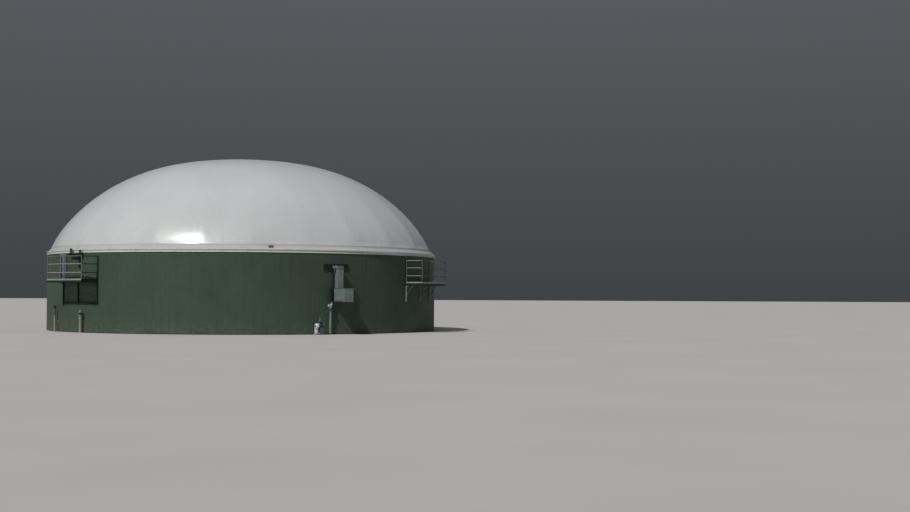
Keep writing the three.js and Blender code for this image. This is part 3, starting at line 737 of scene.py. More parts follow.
def add_roof():
    """The roof's cloth with its weld strips, a patch at the top, and the band that the skirt hangs from."""
    roof = Part("gas_roof_cloth", node="roof_membrane")
    shares = [CLOTH_TOP * (i / (CLOTH_RINGS - 1)) ** CLOTH_RING_SPACING for i in range(CLOTH_RINGS)]
    columns = GORES * CLOTH_COLUMNS_PER_GORE
    bearings = [GORE_OFFSET + 360 * i / columns for i in range(columns)]
    grids = []
    for lift in (0.0, -CLOTH_THICKNESS):
        grids.append([[dome_surface(share, bearing, lift) for bearing in bearings] for share in shares])
    roof.shell(MEMBRANE, *grids, wrap=True)
    for gore in range(GORES):
        add_weld_strip(roof, GORE_OFFSET + gore * 360 / GORES, shares[:STRIP_RINGS])

    patch = [dome_point(APEX_PATCH_START + (1 - APEX_PATCH_START) * i / 8) for i in range(8)]
    profile = [(z + 0.004 - CLOTH_INSET, radius) for radius, z in patch]
    roof.turned(MEMBRANE, (0, 0, 0), [(profile[0][0] - 0.02, profile[0][1])] + profile, 56)

    (radius, z), high = dome_point(0.0), dome_point(SEAM_BAND_TOP)
    outline = [(radius - 0.001, z - 0.018), (radius + 0.005, z - 0.018), (radius + 0.005, z),
               (high[0] + 0.004, high[1]), (high[0] - 0.002, high[1])]
    roof.sweep(SEAM_BAND, outline, [3.0 * i for i in range(120)], closed=True)
    piece = roof.finish("membrane", sharp=40)


def skirt_wave(bearing, drop):
    """How far the loose skirt stands out, growing down from the clamp to its hem."""
    slack = smooth(0.0, 0.13, drop)
    return slack * (0.004 * wobble(bearing * 0.30, 1.0, 9.0) + 0.003 * wobble(bearing * 0.9, 4.0, drop * 3))


def skirt_surface(bearing, share, behind=0.0):
    """A point of the skirt, from 0 at the roof's seam over the clamp's bend to 1 at the hem."""
    bend_share = 0.6
    top_radius, top = SEAM_RADIUS + 0.006, SEAM_HEIGHT + 0.004
    if share < bend_share:
        part = share / bend_share
        sag = 0.010 * math.sin(math.pi * part) * (0.6 + 0.4 * wobble(bearing * 0.4, 7.0, 1.0))
        radius = top_radius + (SKIRT_RADIUS - top_radius) * part - sag
        z = top + (SKIRT_BEND - top) * part - sag * 0.7
    else:
        drop = (SKIRT_BEND - SKIRT_HEM) * (share - bend_share) / (1 - bend_share)
        radius = SKIRT_RADIUS + skirt_wave(bearing, drop)
        z = SKIRT_BEND - drop
    return around(bearing, radius - behind, z - behind * (1 - share))


def add_skirt():
    """The white weather skirt in four lengths, each with a welded hem. Dirt lies on its slope."""
    shares = [0.0, 0.1, 0.2, 0.3, 0.4, 0.5, 0.58, 0.62, 0.7, 0.8, 0.9, 1.0]
    length = 360 / SKIRT_QUARTERS
    for quarter in range(SKIRT_QUARTERS):
        part = Part(f"weather_skirt_{quarter + 1}", node="membrane_skirt")
        start = quarter * length
        bearings = [start + SKIRT_STEP * i for i in range(round(length / SKIRT_STEP) + 1)]
        grids = []
        for behind in (0.0, 0.003):
            rows = [[skirt_surface(bearing, share, behind) for bearing in bearings] for share in shares]
            grids.append(rows)
        part.shell(SKIRT, *grids)
        part.tones = [SKIRT_SLOPE_DIRT if point.z > SKIRT_BEND else 0.0 for point in part.points]
        part.tube(SKIRT, [skirt_surface(bearing, 0.985, 0.001) for bearing in bearings], 0.0065, 8)
        piece = part.finish("skirt", sharp=50)


def add_clamp_rail():
    """The clamp rail: flat bars end to end round the rim, each held by a row of bolts."""
    part = Part("rim_clamp_rail", node="clamp_rail")
    outer = outer_radius("clamp_rail")
    back, front = outer - 0.020, outer - 0.008
    low, high = part.box.tall
    outline = folded([(back, low), (front - 0.002, low), (front, low + 0.003)], low + high)
    length = 360 / CLAMP_LENGTHS
    for i in range(CLAMP_LENGTHS):
        ends = onward(i * length, length)
        part.sweep(STAINLESS, outline, spread(*inset(ends, CLAMP_GAP), 13), tone=0.04 * (i % 3))
        for bearing in centres(ends, CLAMP_BOLTS_PER_LENGTH):
            part.wall_bolt(bearing, front, (low + high) / 2, 0.009)
    part.finish("rail_steel")


def add_air_outlet():
    """The small dark air outlet on the seam: a cowl with slats."""
    part = Part("roof_air_cowl", AIR_OUTLET_BEARING, "roof_air_outlet")
    wide, front, low, high = part.box.wide, part.box.front, part.box.low, part.box.high
    back = SEAM_RADIUS - 0.02
    part.block(SEAM_BAND, wide, (back, front - 0.006), (high - 0.012, high))
    part.block(DARK, wide, (SEAM_RADIUS + 0.05, front - 0.006), onward(low, 0.010))
    for side in (wide[0], wide[1] - 0.008):
        part.block(DIM_ZINC, onward(side, 0.008), (SEAM_RADIUS + 0.03, front - 0.006), (low, high), 0.002)
    for z in spread(low + 0.010, high - 0.024, 5):
        part.block(ZINC, inset(wide, 0.004), (front - 0.030, front - 0.001), onward(z, 0.010), 0.001)
    part.block(RUBBER, inset(wide, 0.01), (back, front - 0.035), (low + 0.004, high - 0.01))
    part.finish("dark_steel")


# The service platforms
def add_bracket(part, steel, bearing, along, box, brace):
    """One wall bracket: an upright with bolted plates at its ends, a gusset, and any brace."""
    wall = wall_at(along)
    under = box.high - BEAM_HEIGHT
    part.face_to(bearing + bearing_of(along, WALL))
    for ends in (onward(box.low, 0.16), (under - 0.14, under - 0.02)):
        part.block(steel, about(0, 0.058), (WALL - 0.002, WALL + 0.012), ends, 0.002)
        part.bolts(about(0, 0.042), [WALL + 0.012], inset(ends, 0.025), OUT, 0.010)
    part.face_to(bearing)
    upright = (box.low + 0.02, under + 0.002)
    part.block(steel, about(along, 0.029), (wall + 0.004, wall + 0.058), upright, 0.005)
    if brace:
        foot = (along, wall + 0.045, box.high - BEAM_HEIGHT / 2 - BRACE_DROP)
        part.tube(DARK_ZINC, [foot, (along, wall + BRACE_REACH, under + 0.006)], BRACE_RADIUS)
    gusset = [(end, wall + 0.056, under + 0.002) for end in about(along, 0.004)]
    part.prism(steel, [(0, 0), (0.10, 0), (0, -0.10)], *gusset, OUT)


def add_steelwork(side, bearing, steel):
    """The welded frame of channels, its joist, three brackets down the wall, and any foot bar."""
    part = Part(f"{side}_platform_steelwork", bearing, f"{side}_platform_frame")
    left, right = inset(part.box.wide, BEAM_INSET)
    box = part.box._replace(left=left, right=right)
    z = box.high - BEAM_HEIGHT / 2
    section = channel(0.056, BEAM_HEIGHT - 0.002)
    # The channels take near-black paint. It is partly painted shade, standing in for the unlit side beams and
    # the shade under the floor.
    for out, flanges in ((box.front - 0.003, (0, -1, 0)), (WALL + 0.03, OUT)):
        part.prism(DARK, section, (left, out, z), (right, out, z), flanges)
    wall_end = wall_at(right) + 0.012
    for along, inward in ((left + 0.001, 1), (right - 0.001, -1)):
        part.prism(DARK, section, (along, wall_end, z), (along, box.front - 0.004, z), (inward, 0, 0))
    joist = [(-0.025, out, z - 0.016) for out in (WALL, box.front - 0.005)]
    part.prism(DARK, channel(0.05, BEAM_HEIGHT - 0.034), *joist, ALONG)
    for along in (left + 0.03, 0.0, right - 0.03):
        add_bracket(part, steel, bearing, along, box, brace=side == "right")
    if side == "left":
        add_foot_bar(part, bearing, box)
    add_edge_strip(part, side, box)
    part.finish("galvanised")


def add_foot_bar(part, bearing, box):
    """The channel bent to the wall that joins the brackets' feet, with a bolt at each. Its near-black paint
    is partly painted shade: it draws the straight lower edge of the platform's shadow on the wall.
    """
    part.face_to(0)
    back, front = WALL + 0.002, WALL + 0.038
    low, high = box.low + 0.026, box.low + 0.084
    flange = [(back, low), (front, low), (front, low + 0.008), (front - 0.006, low + 0.010)]
    ends = about(bearing, bearing_of(box.right, front))
    part.sweep(DARK, folded(flange, low + high), spread(*ends, 21))
    for along in (box.left + 0.03, 0.0, box.right - 0.03):
        part.wall_bolt(bearing + bearing_of(along, front), front - 0.008, (low + high) / 2, 0.009, DARK)
    part.face_to(bearing)


def add_edge_strip(part, side, box):
    """The bright flat edge along the floor's front, and along the right platform's near end too."""
    low, high = box.high - EDGE_HEIGHT, box.high
    part.block(ZINC, box.wide, (box.front - 0.006, box.front), (low, high), 0.002)
    part.bolts(centres(box.wide, 8), [box.front - 0.002], [(low + high) / 2], OUT, 0.002)
    if side == "right":
        near_end = (wall_at(box.left) + 0.02, box.front)
        part.block(ZINC, onward(box.left, 0.005), near_end, (low + 0.015, high), 0.002)


def add_grating(side, bearing):
    """Bar grating: upright bars along the floor, rods across them, and a band round each panel."""
    part = Part(f"{side}_platform_bar_grating", bearing, f"{side}_platform_grating")
    box = part.box
    width = (box.right - box.left) / GRATING_PANELS
    bars = round((box.front - box.back) / GRATING_PITCH)
    for panel in range(GRATING_PANELS):
        left, right = inset(onward(box.left + panel * width, width), 0.002)
        for out in spread(box.back + 0.0015, box.front - 0.0015, bars + 1):
            part.block(GRATING, (left, right), about(out, 0.0015), box.tall, 0.0004)
        rods = round((right - left) / GRATING_ROD_PITCH)
        for along in spread(left, right, rods + 1)[1:-1]:
            part.tube(GRATING, [(along, out, box.high - 0.004) for out in box.deep], 0.0028, 6)
        for along in (left, right - 0.003):
            part.block(GRATING, onward(along, 0.003), box.deep, box.tall, 0.0004)
    part.finish("grating_steel")


def add_post(part, steel, foot, top, runs, rails):
    """A railing's post with a round cap, and a welded collar for each rail that meets it."""
    height = top - foot.z
    cap = [(height - 0.006, POST_RADIUS), (height - 0.002, POST_RADIUS * 0.85), (height, POST_RADIUS * 0.5)]
    part.turned(steel, foot, [(0, POST_RADIUS)] + cap, 20)
    part.turned(steel, foot, [(0, 0.0275), (0.010, 0.0275), (0.016, 0.025)], 20)
    if len(runs) == 2:
        plate = Vector((0, 0, 0.008))
        for corner in (runs[0] * 0.043, runs[1] * 0.043):
            part.bolt(foot + corner + plate, UP, 0.008)
        part.prism(steel, folded([(-0.058, -0.028), (0.058, -0.028)]), foot, foot + plate, runs[0])
    for z, run in product(rails, runs):
        collar = [(0, 0.0225), (POST_RADIUS + 0.004, 0.0225), (POST_RADIUS + 0.009, 0.0195)]
        part.turned(steel, (foot.x, foot.y, z), collar, 16, run)


def add_guard(side, end, bearing, floor, steel, knee_steel):
    """One of a platform's tube railings. A post between two stretches stands on a bolted plate."""
    part = Part(f"{side}_platform_{end}_guard", bearing, f"{side}_platform_{end}_railing")
    box = part.box
    if end == "front":
        along, out = inset(box.wide, 0.026), [middle(box.deep)] * 2
        shares = (0, 1 / 2, 1)
    else:
        along, out = [middle(box.wide)] * 2, inset(box.deep, 0.026, 0)
        shares = (0,)
    first, last = (Vector((*place, floor)) for place in zip(along, out))
    run = (last - first).normalized()
    for share in shares:
        runs = [run] * (share < 1) + [-run] * (share > 0)
        add_post(part, steel, first.lerp(last, share), box.high, runs, RAILS[side])
    for z in RAILS[side]:
        rail = [(*place, z) for place in zip(along, out)]
        part.tube(steel if z == RAILS[side][-1] else knee_steel, rail, RAIL_RADIUS)
    part.finish("galvanised")


def add_platform(side, bearing, steel, railings):
    """A platform. For each railing, the steels of its posts and handrail and of its knee rails are named."""
    add_steelwork(side, bearing, steel)
    add_grating(side, bearing)
    floor = span(f"{side}_platform_frame", bearing).high
    for end, steels in railings.items():
        add_guard(side, end, bearing, floor, *steels)


def add_cabinet():
    """The shallow sheet cabinet: body, rain lip, one door with hinges and a lock."""
    part = Part("wall_cabinet_body", LEFT_PLATFORM_BEARING, "wall_cabinet")
    box = part.box
    back, front = wall_at(box.left) - 0.01, box.front - 0.022
    part.block(CABINET, box.wide, (back, front), (box.low, box.high - 0.012), 0.006)
    part.block(CABINET, box.wide, (back, box.front), (box.high - 0.016, box.high), 0.004)
    door = (front - 0.004, box.front - 0.003)
    part.block(CABINET, inset(box.wide, 0.008), door, inset(box.tall, 0.008, 0.022), 0.006)
    half_way = middle(box.tall)
    for z in (box.low + 0.16, half_way, box.high - 0.18):
        hinge = [(box.left + 0.010, box.front - 0.008, end) for end in about(z, 0.035)]
        part.tube(BOLT, hinge, 0.006, 10)
    lock = (box.right - 0.045, box.front - 0.004, half_way)
    part.turned(RUBBER, lock, [(0, 0.014), (0.006, 0.012)], 16, OUT)
    part.finish("cabinet")


# The rope guide and the hand winch
def add_rope_guide():
    """A bar on two arms, with an upright roller near each end."""
    part = Part("rope_guide_rollers", GUIDE_BEARING, "rope_guide")
    box, low, out = part.box, part.box.low, GUIDE_OUT
    bar_high = low + 0.09
    bar = [(along, out - 0.043, low + 0.045) for along in box.wide]
    part.prism(GREEN_TRIM, channel(0.085, 0.088), *bar, OUT)
    for along in (box.left, box.right - 0.008):
        part.block(GREEN_TRIM, onward(along, 0.008), about(out, 0.043), (low, bar_high), 0.002)
    for along, top in ((-0.378, box.high), (0.378, box.high - 0.07)):
        wall = wall_at(along)
        part.block(DARK_GREY, about(along, 0.035), (wall, out - 0.03), (low + 0.008, low + 0.078), 0.004)
        part.block(DARK, about(along, 0.07), (wall - 0.012, wall + 0.010), (low - 0.03, low + 0.088))
        height = top - bar_high
        roller = [(0, 0.069), (0.016, 0.069), (0.024, 0.058), (height * 0.45, 0.050), (height - 0.054, 0.058),
                  (height - 0.046, 0.069), (height - 0.022, 0.069), (height - 0.014, 0.04), (height, 0.026)]
        part.turned(DARK_GREY, (along, out, bar_high - 0.002), roller, 24)
        part.bolt((along, out, top - 0.012), UP, 0.012)
    part.finish("dark_steel")


def add_winch():
    """The hand winch: plate, cheeks, a drum with wound rope, a crank and the rope stop below."""
    part = Part("hand_winch_drum", GUIDE_BEARING, "hand_winch")
    box, along, out, z = part.box, WINCH_ALONG, WINCH_OUT, WINCH_AXLE
    plate = WALL + 0.018
    part.block(DARK, about(along, 0.06), (WALL - 0.02, plate), box.tall, 0.004)
    heights = (box.low + 0.13, box.high - 0.03, middle(box.tall) + 0.03)
    part.bolts(about(along, 0.042), [plate], heights, OUT, 0.009)
    for cheek in (along - 0.070, along + 0.060):
        part.block(DARK, onward(cheek, 0.010), (plate - 0.004, box.front), (z - 0.078, z + 0.083), 0.004)
    part.tube(DARK, [(end, out, z) for end in about(along, 0.06)], 0.030, 20)
    for layer, radius in enumerate((0.038, 0.046)):
        rope = mirrored([(0, radius - 0.004), (0.002, radius)], 0.008)
        for i in range(WINCH_TURNS - layer):
            place = along - 0.058 + 0.0085 * (i + 0.5 * layer)
            part.turned(DARK_GREY, (place, out, z), rope, 24, ALONG)
    crank = along + 0.130
    part.tube(DARK_GREY, [(along + 0.06, out, z), (crank, out, z)], 0.010, 14)
    part.block(DARK, (crank - 0.012, crank), about(out, 0.013), (z - 0.19, z + 0.014))
    stop = mirrored([(0, 0.034), (0.012, 0.034), (0.020, 0.024)], 0.090)
    part.turned(DARK, (along - 0.045, WALL + 0.055, box.low + 0.045), stop, 24, ALONG)
    for cheek in (along - 0.045, along + 0.037):
        part.block(DARK, onward(cheek, 0.008), (WALL, WALL + 0.088), onward(box.low, 0.085))
    part.finish("dark_steel")


# The gas relief unit
def add_header():
    """The dark header plate, bent to the wall: a shallow box with a folded rim and rows of bolts."""
    part = Part("relief_header_box", RELIEF_BEARING, "relief_header_plate")
    part.face_to(0)
    radius = outer_radius("relief_header_plate") - 0.001
    first, last = (RELIEF_BEARING + bearing_of(along, radius) for along in part.box.wide)
    low, high = part.box.tall
    rim, face = low + 0.014, radius - 0.006
    end = [(WALL - 0.01, low), (radius, low)]
    outline = folded(end + [(radius, rim), (face, rim + 0.003)], low + high)
    part.sweep(DARK, outline, spread(first + 0.02, last - 0.02, 15))
    for start in (first, last - 0.1):
        part.sweep(DARK, folded(end, low + high), onward(start, 0.1))
    for bearing in spread(first + 0.4, last - 0.4, 9):
        along = math.radians(bearing - RELIEF_BEARING) * radius
        if not HEADER_BARE[0] < along < HEADER_BARE[1]:
            for z in (low + 0.035, high - 0.035):
                part.wall_bolt(bearing, radius - 0.007, z, 0.008)
    part.finish("dark_steel")


def add_duct_flange(part, box, z, lip):
    """A pair of bolted flanges round a square duct."""
    for low in (z - 0.009, z + 0.001):
        part.block(DUCT, inset(box.wide, -lip), inset(box.deep, 0, -lip), onward(low, 0.008), 0.002)
    part.bolts(centres(box.wide, 4), [box.front + lip / 2], [z + 0.009], UP, 0.008)
    part.bolts(inset(box.wide, -lip / 2), centres(box.deep, 3), [z + 0.009], UP, 0.008)


def add_riser_duct():
    """The square duct of folded sheet, with stiffening creases, flanges and a lid."""
    part = Part("relief_riser_duct_sheet", RELIEF_BEARING, "relief_riser_duct")
    left, right = inset(part.box.wide, DUCT_LIP)
    back, front = outer_radius("relief_header_plate"), part.box.front - DUCT_LIP
    box = part.box._replace(left=left, right=right, back=back, front=front)
    part.block(DUCT, box.wide, box.deep, (box.low, box.high - 0.012), 0.006)
    for share in (0.35, 0.68):
        z = box.low + (box.high - box.low) * share
        part.block(DUCT, inset(box.wide, -0.003), (back, front + 0.003), onward(z, 0.012), 0.004)
    add_duct_flange(part, box, box.low + 0.022, DUCT_LIP)
    add_duct_flange(part, box, box.high - 0.10, 0.022)
    part.block(DUCT, inset(box.wide, -0.010), (back, front + 0.012), (box.high - 0.016, box.high))
    for along, side in ((left, -1), (right, 1)):
        for z in spread(box.low + 0.10, box.high - 0.16, 7):
            rivet = [(-0.001, 0.005), (0.003, 0.003)]
            part.turned(BOLT, (along, front - 0.025, z), rivet, 8, (side, 0, 0))
    part.finish("duct_steel")


def add_branch():
    """The branch pipe between the riser duct and its blind flange."""
    part = Part("relief_branch_tube", RELIEF_BEARING, "relief_branch_pipe")
    (left, right), out, z = part.box.wide, middle(part.box.deep), middle(part.box.tall)
    part.tube(DUCT, [(left + 0.002, out, z), (right, out, z)], 0.062, 32)
    part.flange(DUCT, (right, out, z), 0.088, 0.014, 0.008, (-1, 0, 0))
    blind = [(0, 0.055), (0.004, 0.065), (0.012, 0.065), (0.014, 0.062)]
    part.turned(DUCT, (left, out, z), blind, 32, ALONG)
    part.finish("duct_steel")


def add_valve_box():
    """The valve box: folded sheet with a lid, a bolted front cover, side covers and lifting lugs."""
    part = Part("relief_valve_housing", RELIEF_BEARING, "relief_valve_box")
    box = part.box
    skin = 0.006
    part.block(DUCT, inset(box.wide, skin), inset(box.deep, 0, skin), inset(box.tall, 0, 0.006), 0.010)
    for ends in ((box.high - 0.024, box.high - 0.002), onward(box.low, 0.020)):
        part.block(DUCT, box.wide, box.deep, ends, 0.005)
    cover = (box.low + 0.05, box.high - 0.055)
    rows = inset(cover, 0.015)
    face = [box.front - 0.001]
    part.block(DUCT, inset(box.wide, 0.04), (box.front - skin - 0.002, box.front), cover)
    part.bolts(spread(*inset(box.wide, 0.055), 5), face, rows, OUT, 0.007)
    part.bolts(inset(box.wide, 0.055), face, spread(*rows, 5)[1:-1], OUT, 0.007)
    for side, along in ((-1, box.left), (1, box.right)):
        panel = sorted((along - side * (skin + 0.001), along))
        part.block(DUCT, panel, inset(box.deep, 0.12, 0.10), cover)
        part.bolts([along], spread(*inset(box.deep, 0.14, 0.12), 7), rows, (side, 0, 0), 0.007)
    for out in (box.back + 0.47, box.front - 0.06):
        part.turned(BOLT, (box.right - 0.05, out, box.high - 0.003), [(0, 0.010), (0.008, 0.009)], 12)
    part.finish("duct_steel")


def add_valve_bracket():
    """Two arms of angle steel from the wall, with two rungs between them. Their dark zinc is painted shade:
    it keeps them as dark as the shade under the valve box.
    """
    part = Part("relief_valve_arms", RELIEF_BEARING, "relief_valve_bracket")
    box, high = part.box, part.box.high
    angle = [(0, 0), (0.05, 0), (0.05, -0.006), (0.006, -0.006), (0.006, -0.05), (0, -0.05)]
    for along, inward in ((box.left, 1), (box.right, -1)):
        outline = [(inward * x, y) for x, y in angle]
        part.prism(DARK_ZINC, outline, (along, WALL - 0.02, high), (along, box.front, high), ALONG)
        plate = sorted((along - inward * 0.01, along + inward * 0.06))
        wall = wall_at(along)
        part.block(DARK_ZINC, plate, (wall - 0.02, wall + 0.010), (high - 0.11, high), 0.002)
    for out in (WALL + 0.045, box.front - 0.045):
        rung = inset(box.wide, 0.006)
        part.block(DARK_ZINC, rung, about(out, 0.02), (high - 0.012, high - 0.006))
        part.block(DARK_ZINC, rung, onward(out - 0.02, 0.006), (high - 0.046, high - 0.006))
    part.finish("galvanised")


def add_water_pot():
    """The dark water pot beside the valve box, with a lid and straps, and the thin pipe from the header."""
    part = Part("relief_water_pot", RELIEF_BEARING, "relief_side_pipe")
    box, out, radius = part.box, POT_OUT, POT_RADIUS
    along = box.left + POT_FLAT * CORNER_REACH
    top = span("relief_valve_box", RELIEF_BEARING).high
    height = top - box.low
    pot = [(0.0, radius - 0.03), (0.018, radius - 0.004), (0.03, radius - 0.004), (0.034, radius),
           (0.05, radius), (0.054, radius - 0.006), (height - 0.066, radius - 0.006),
           (height - 0.062, radius), (height - 0.018, radius), (height - 0.012, radius - 0.012),
           (height, radius - 0.03)]
    part.turned(DARK, (along, out, box.low), pot, 32)
    for x, y in circle(6, 0.07):
        part.bolt((along + x, out + y, top - 0.014), UP, 0.006)
    for z in (box.low + 0.12, POT_STRAP, top - 0.14):
        part.band(DARK, (along, out, z), radius, 0.025)
        part.block(DARK, about(along, 0.012), (wall_at(along) - 0.01, out - 0.05), onward(z, 0.025), 0.002)
    pipe, turn = POT_PIPE_ALONG, POT_PIPE_TURN
    part.block(DARK, about(pipe, 0.049), (WALL + 0.004, out + 0.049), (box.high - 0.0115, box.high), 0.002)
    over = bend((pipe, out, box.high), (pipe, out, turn), (along + 0.04, out, turn), 0.045)
    down = bend((along + 0.05, out, turn), (along, out, turn), (along, out, top - 0.02), 0.04)
    for path in (over, down):
        part.tube(DARK, path, 0.033, 20)
    part.band(DARK, (pipe, out, box.high - 0.16), 0.0345, 0.014, 24)
    part.finish("dark_steel")


def add_elbow():
    """The white elbow under the pot: neck, round bend, capped mouth, and the cone down to the collar."""
    part = Part("relief_drain_bend", RELIEF_BEARING, "relief_drain_elbow")
    box, neck, out, z = part.box, ELBOW_ALONG, DRAIN_OUT, ELBOW_HEIGHT
    stem = [(0, 0.034), (0.05, 0.034), (0.052, 0.036), (box.high - ELBOW_NECK, 0.036)]
    part.turned(ELBOW_PLASTIC, (neck, out, ELBOW_NECK), stem, 24)
    nut = [(0, 0.050), (0.006, 0.054), (0.035, 0.054), (0.045, 0.036)]
    part.turned(ELBOW_PLASTIC, (neck, out, ELBOW_NECK - 0.005), nut, 28)
    path = bend((neck, out, ELBOW_NECK + 0.025), (neck, out, z), (box.left + 0.02, out, z), 0.075, 10)
    part.tube(ELBOW_PLASTIC, path, 0.052, 28)
    mouth = [(0, 0.054), (0.006, 0.062), (0.044, 0.062), (0.050, 0.056), (0.058, 0.030)]
    part.turned(ELBOW_PLASTIC, (box.left + 0.060, out, z), mouth, 28, (-1, 0, 0))
    cone = [(0, 0.060), (0.003, 0.064), (0.035, 0.064), (z - box.low, 0.048)]
    part.turned(ELBOW_PLASTIC, (DRAIN_ALONG, out, box.low), cone, 32)
    part.finish("white_plastic")


def add_drain_collar():
    """The dark rubber collar, with a lip and a strap at each end."""
    part = Part("drain_rubber_collar", RELIEF_BEARING, "drain_collar")
    low, high = part.box.tall
    height, radius = high - low, COLLAR_RADIUS
    lip = [(0, radius - 0.010), (0.005, radius), (0.030, radius), (0.034, radius - 0.006)]
    part.turned(RUBBER, (DRAIN_ALONG, DRAIN_OUT, low), mirrored(lip, height), 32)
    for strap in (low + 0.010, high - 0.022):
        part.band(BOLT, (DRAIN_ALONG, DRAIN_OUT, strap), radius + 0.0015, 0.012)
    part.finish("dark_steel")


def add_drain_pipe():
    """The drain pipe down to the ground, with a socket and a clip to the wall."""
    part = Part("drain_down_pipe", RELIEF_BEARING, "drain_pipe")
    along, out = DRAIN_ALONG, DRAIN_OUT
    low, high = part.box.tall
    socket = [(0.30, 0.058), (0.302, 0.0595), (0.36, 0.0595), (0.364, 0.058)]
    part.turned(DRAIN_PIPE, (along, out, low), [(0, 0.058)] + socket + [(high - low, 0.058)], 28)
    clip = 0.74
    part.band(DARK_ZINC, (along, out, clip), 0.0595, 0.022, 28)
    part.block(DARK_ZINC, about(along, 0.010), (wall_at(along) - 0.01, out - 0.045), onward(clip, 0.022), 0.002)
    part.finish("grey_pipe")


# The support-air blower
def add_blower_housing(out):
    """The round housing on its base and feet."""
    part = Part("blower_volute", RELIEF_BEARING, "blower_housing")
    box, radius = part.box, VOLUTE_RADIUS
    left, right = inset(box.wide, 0.02)
    z = box.high - 0.120
    volute = mirrored([(0, radius - 0.05), (0.010, radius - 0.016), (0.030, radius)], right - left)
    part.turned(WHITE_PLASTIC, (left, out, z), volute, 48, ALONG)
    for ring in (left + 0.041, left + 0.101):
        rib = mirrored([(0, radius - 0.004), (0.002, radius + 0.002)], 0.008)
        part.turned(WHITE_PLASTIC, (ring, out, z), rib, 48, ALONG)
    part.turned(RUBBER, (left - 0.006, out, z), [(0, 0.045), (0.010, 0.050)], 28, ALONG)
    for x, y in circle(8, 0.060, 0.5):
        part.bolt((left + 0.004, out + x, z + y), (-1, 0, 0), 0.006)
    part.block(WHITE_PLASTIC, inset(box.wide, 0.032), (box.back + 0.03, out + 0.02), (0.06, z - 0.02), 0.012)
    for foot in (box.left, box.right - 0.05):
        part.block(ZINC, onward(foot, 0.05), box.deep, onward(box.low, 0.030))
    part.block(ZINC, inset(box.wide, 0.01), inset(box.deep, 0.02), (box.low + 0.028, box.low + 0.078), 0.004)
    part.finish("white_plastic")


def add_motor(out):
    """The finned motor with its fan cover, terminal box and foot."""
    part = Part("blower_motor_finned", RELIEF_BEARING, "blower_motor")
    start, end = part.box.wide
    length = end - start
    z = part.box.high - 0.112
    casing = [(0, 0.080), (0.016, 0.094), (length * 0.70, 0.094), (length * 0.72, 0.108),
              (length - 0.018, 0.108), (length - 0.004, 0.094), (length, 0.070)]
    part.turned(MOTOR, (start, out, z), casing, 40, ALONG)
    for x, y in circle(MOTOR_FINS, 1.0):
        fin = [(along, out + 0.090 * x, z + 0.090 * y) for along in (start + 0.020, start + length * 0.69)]
        part.prism(MOTOR, [(0, -0.0018), (0.018, -0.0010), (0.018, 0.0010), (0, 0.0018)], *fin, (0, x, y))
    part.block(MOTOR, (start + 0.05, start + 0.14), (out + 0.080, out + 0.120), (z - 0.035, z + 0.040), 0.005)
    part.block(MOTOR, inset((start, end), 0.03), about(out, 0.078), (0.010, z - 0.075), 0.006)
    part.block(ZINC, inset((start, end), 0.03), about(out, 0.080), (0.0, 0.012))
    for radius in (0.030, 0.048, 0.066):
        part.turned(RUBBER, (end - 0.001, out, z), [(-0.002, radius), (0.0005, radius - 0.001)], 32, ALONG)
    part.finish("motor_blue")


def add_outlet(out):
    """The blower's outlet hood, with its neck and a hose clamp."""
    part = Part("blower_outlet_hood", RELIEF_BEARING, "blower_outlet")
    box, along = part.box, middle(part.box.wide)
    top = box.low + 0.11
    part.block(PALE_BLUE, box.wide, box.deep, (box.low, top - 0.01), 0.022)
    height = box.high - top
    neck = [(0, 0.052), (0.012, 0.043), (height - 0.03, 0.043), (height - 0.026, 0.0445),
            (height + 0.004, 0.0445)]
    part.turned(PALE_BLUE, (along, out, top - 0.004), neck, 28)
    part.band(BOLT, (along, out, box.high - 0.045), 0.0455, 0.010, 28)
    part.finish("pale_blue")
    return along


def add_air_pipe(along, out):
    """The air pipe from the blower's outlet up to the drain's collar, with a clamp at each end."""
    part = Part("blower_air_hose", RELIEF_BEARING, "blower_air_pipe")
    low = Vector((along, out, part.box.low + 0.012))
    high = Vector((DRAIN_ALONG - 0.02, DRAIN_OUT, DRAIN_BOX.low + 0.055))
    run = (high - low).normalized()
    length = (high - low).length - 0.093
    part.tube(TEAL, [low, low + run * length], 0.0285, 20)
    for place in (0.04, length - 0.06):
        part.band(TEAL, low + run * place, 0.0300, 0.012, 20, run)
    part.finish("pale_blue")


# The riser pipes and their valves
def add_riser_pipe(number):
    """A riser pipe with its top flange, and a clip to the wall. It gives the pipe's radius."""
    bearing = RISER_BEARINGS[number - 1]
    part = Part(f"riser_tube_{number}", bearing, f"riser_pipe_{number}")
    box, out = part.box, RISER_OUT
    radius = (box.right - box.left) / 2 * CORNER_REACH - RISER_LIP - 0.004
    part.band(GREY_PIPE, (0, out, 0), radius, box.high - 0.03)
    part.turned(GREY_PIPE, (0, out, box.high - 0.032), [(0, radius + 0.001), (0.010, radius + 0.008)], 32)
    part.flange(ZINC, (0, out, box.high - 0.001), radius + RISER_LIP, 0.020, 0.010, (0, 0, -1))
    clip = box.high - 0.26
    part.band(BOLT, (0, out, clip), radius + 0.003, 0.035)
    part.block(ZINC, about(0, 0.015), (WALL - 0.01, out - radius + 0.01), onward(clip, 0.035), 0.002)
    part.block(ZINC, about(0, 0.05), about(WALL, 0.006), (clip - 0.02, clip + 0.055), 0.002)
    part.finish("grey_pipe")
    return radius


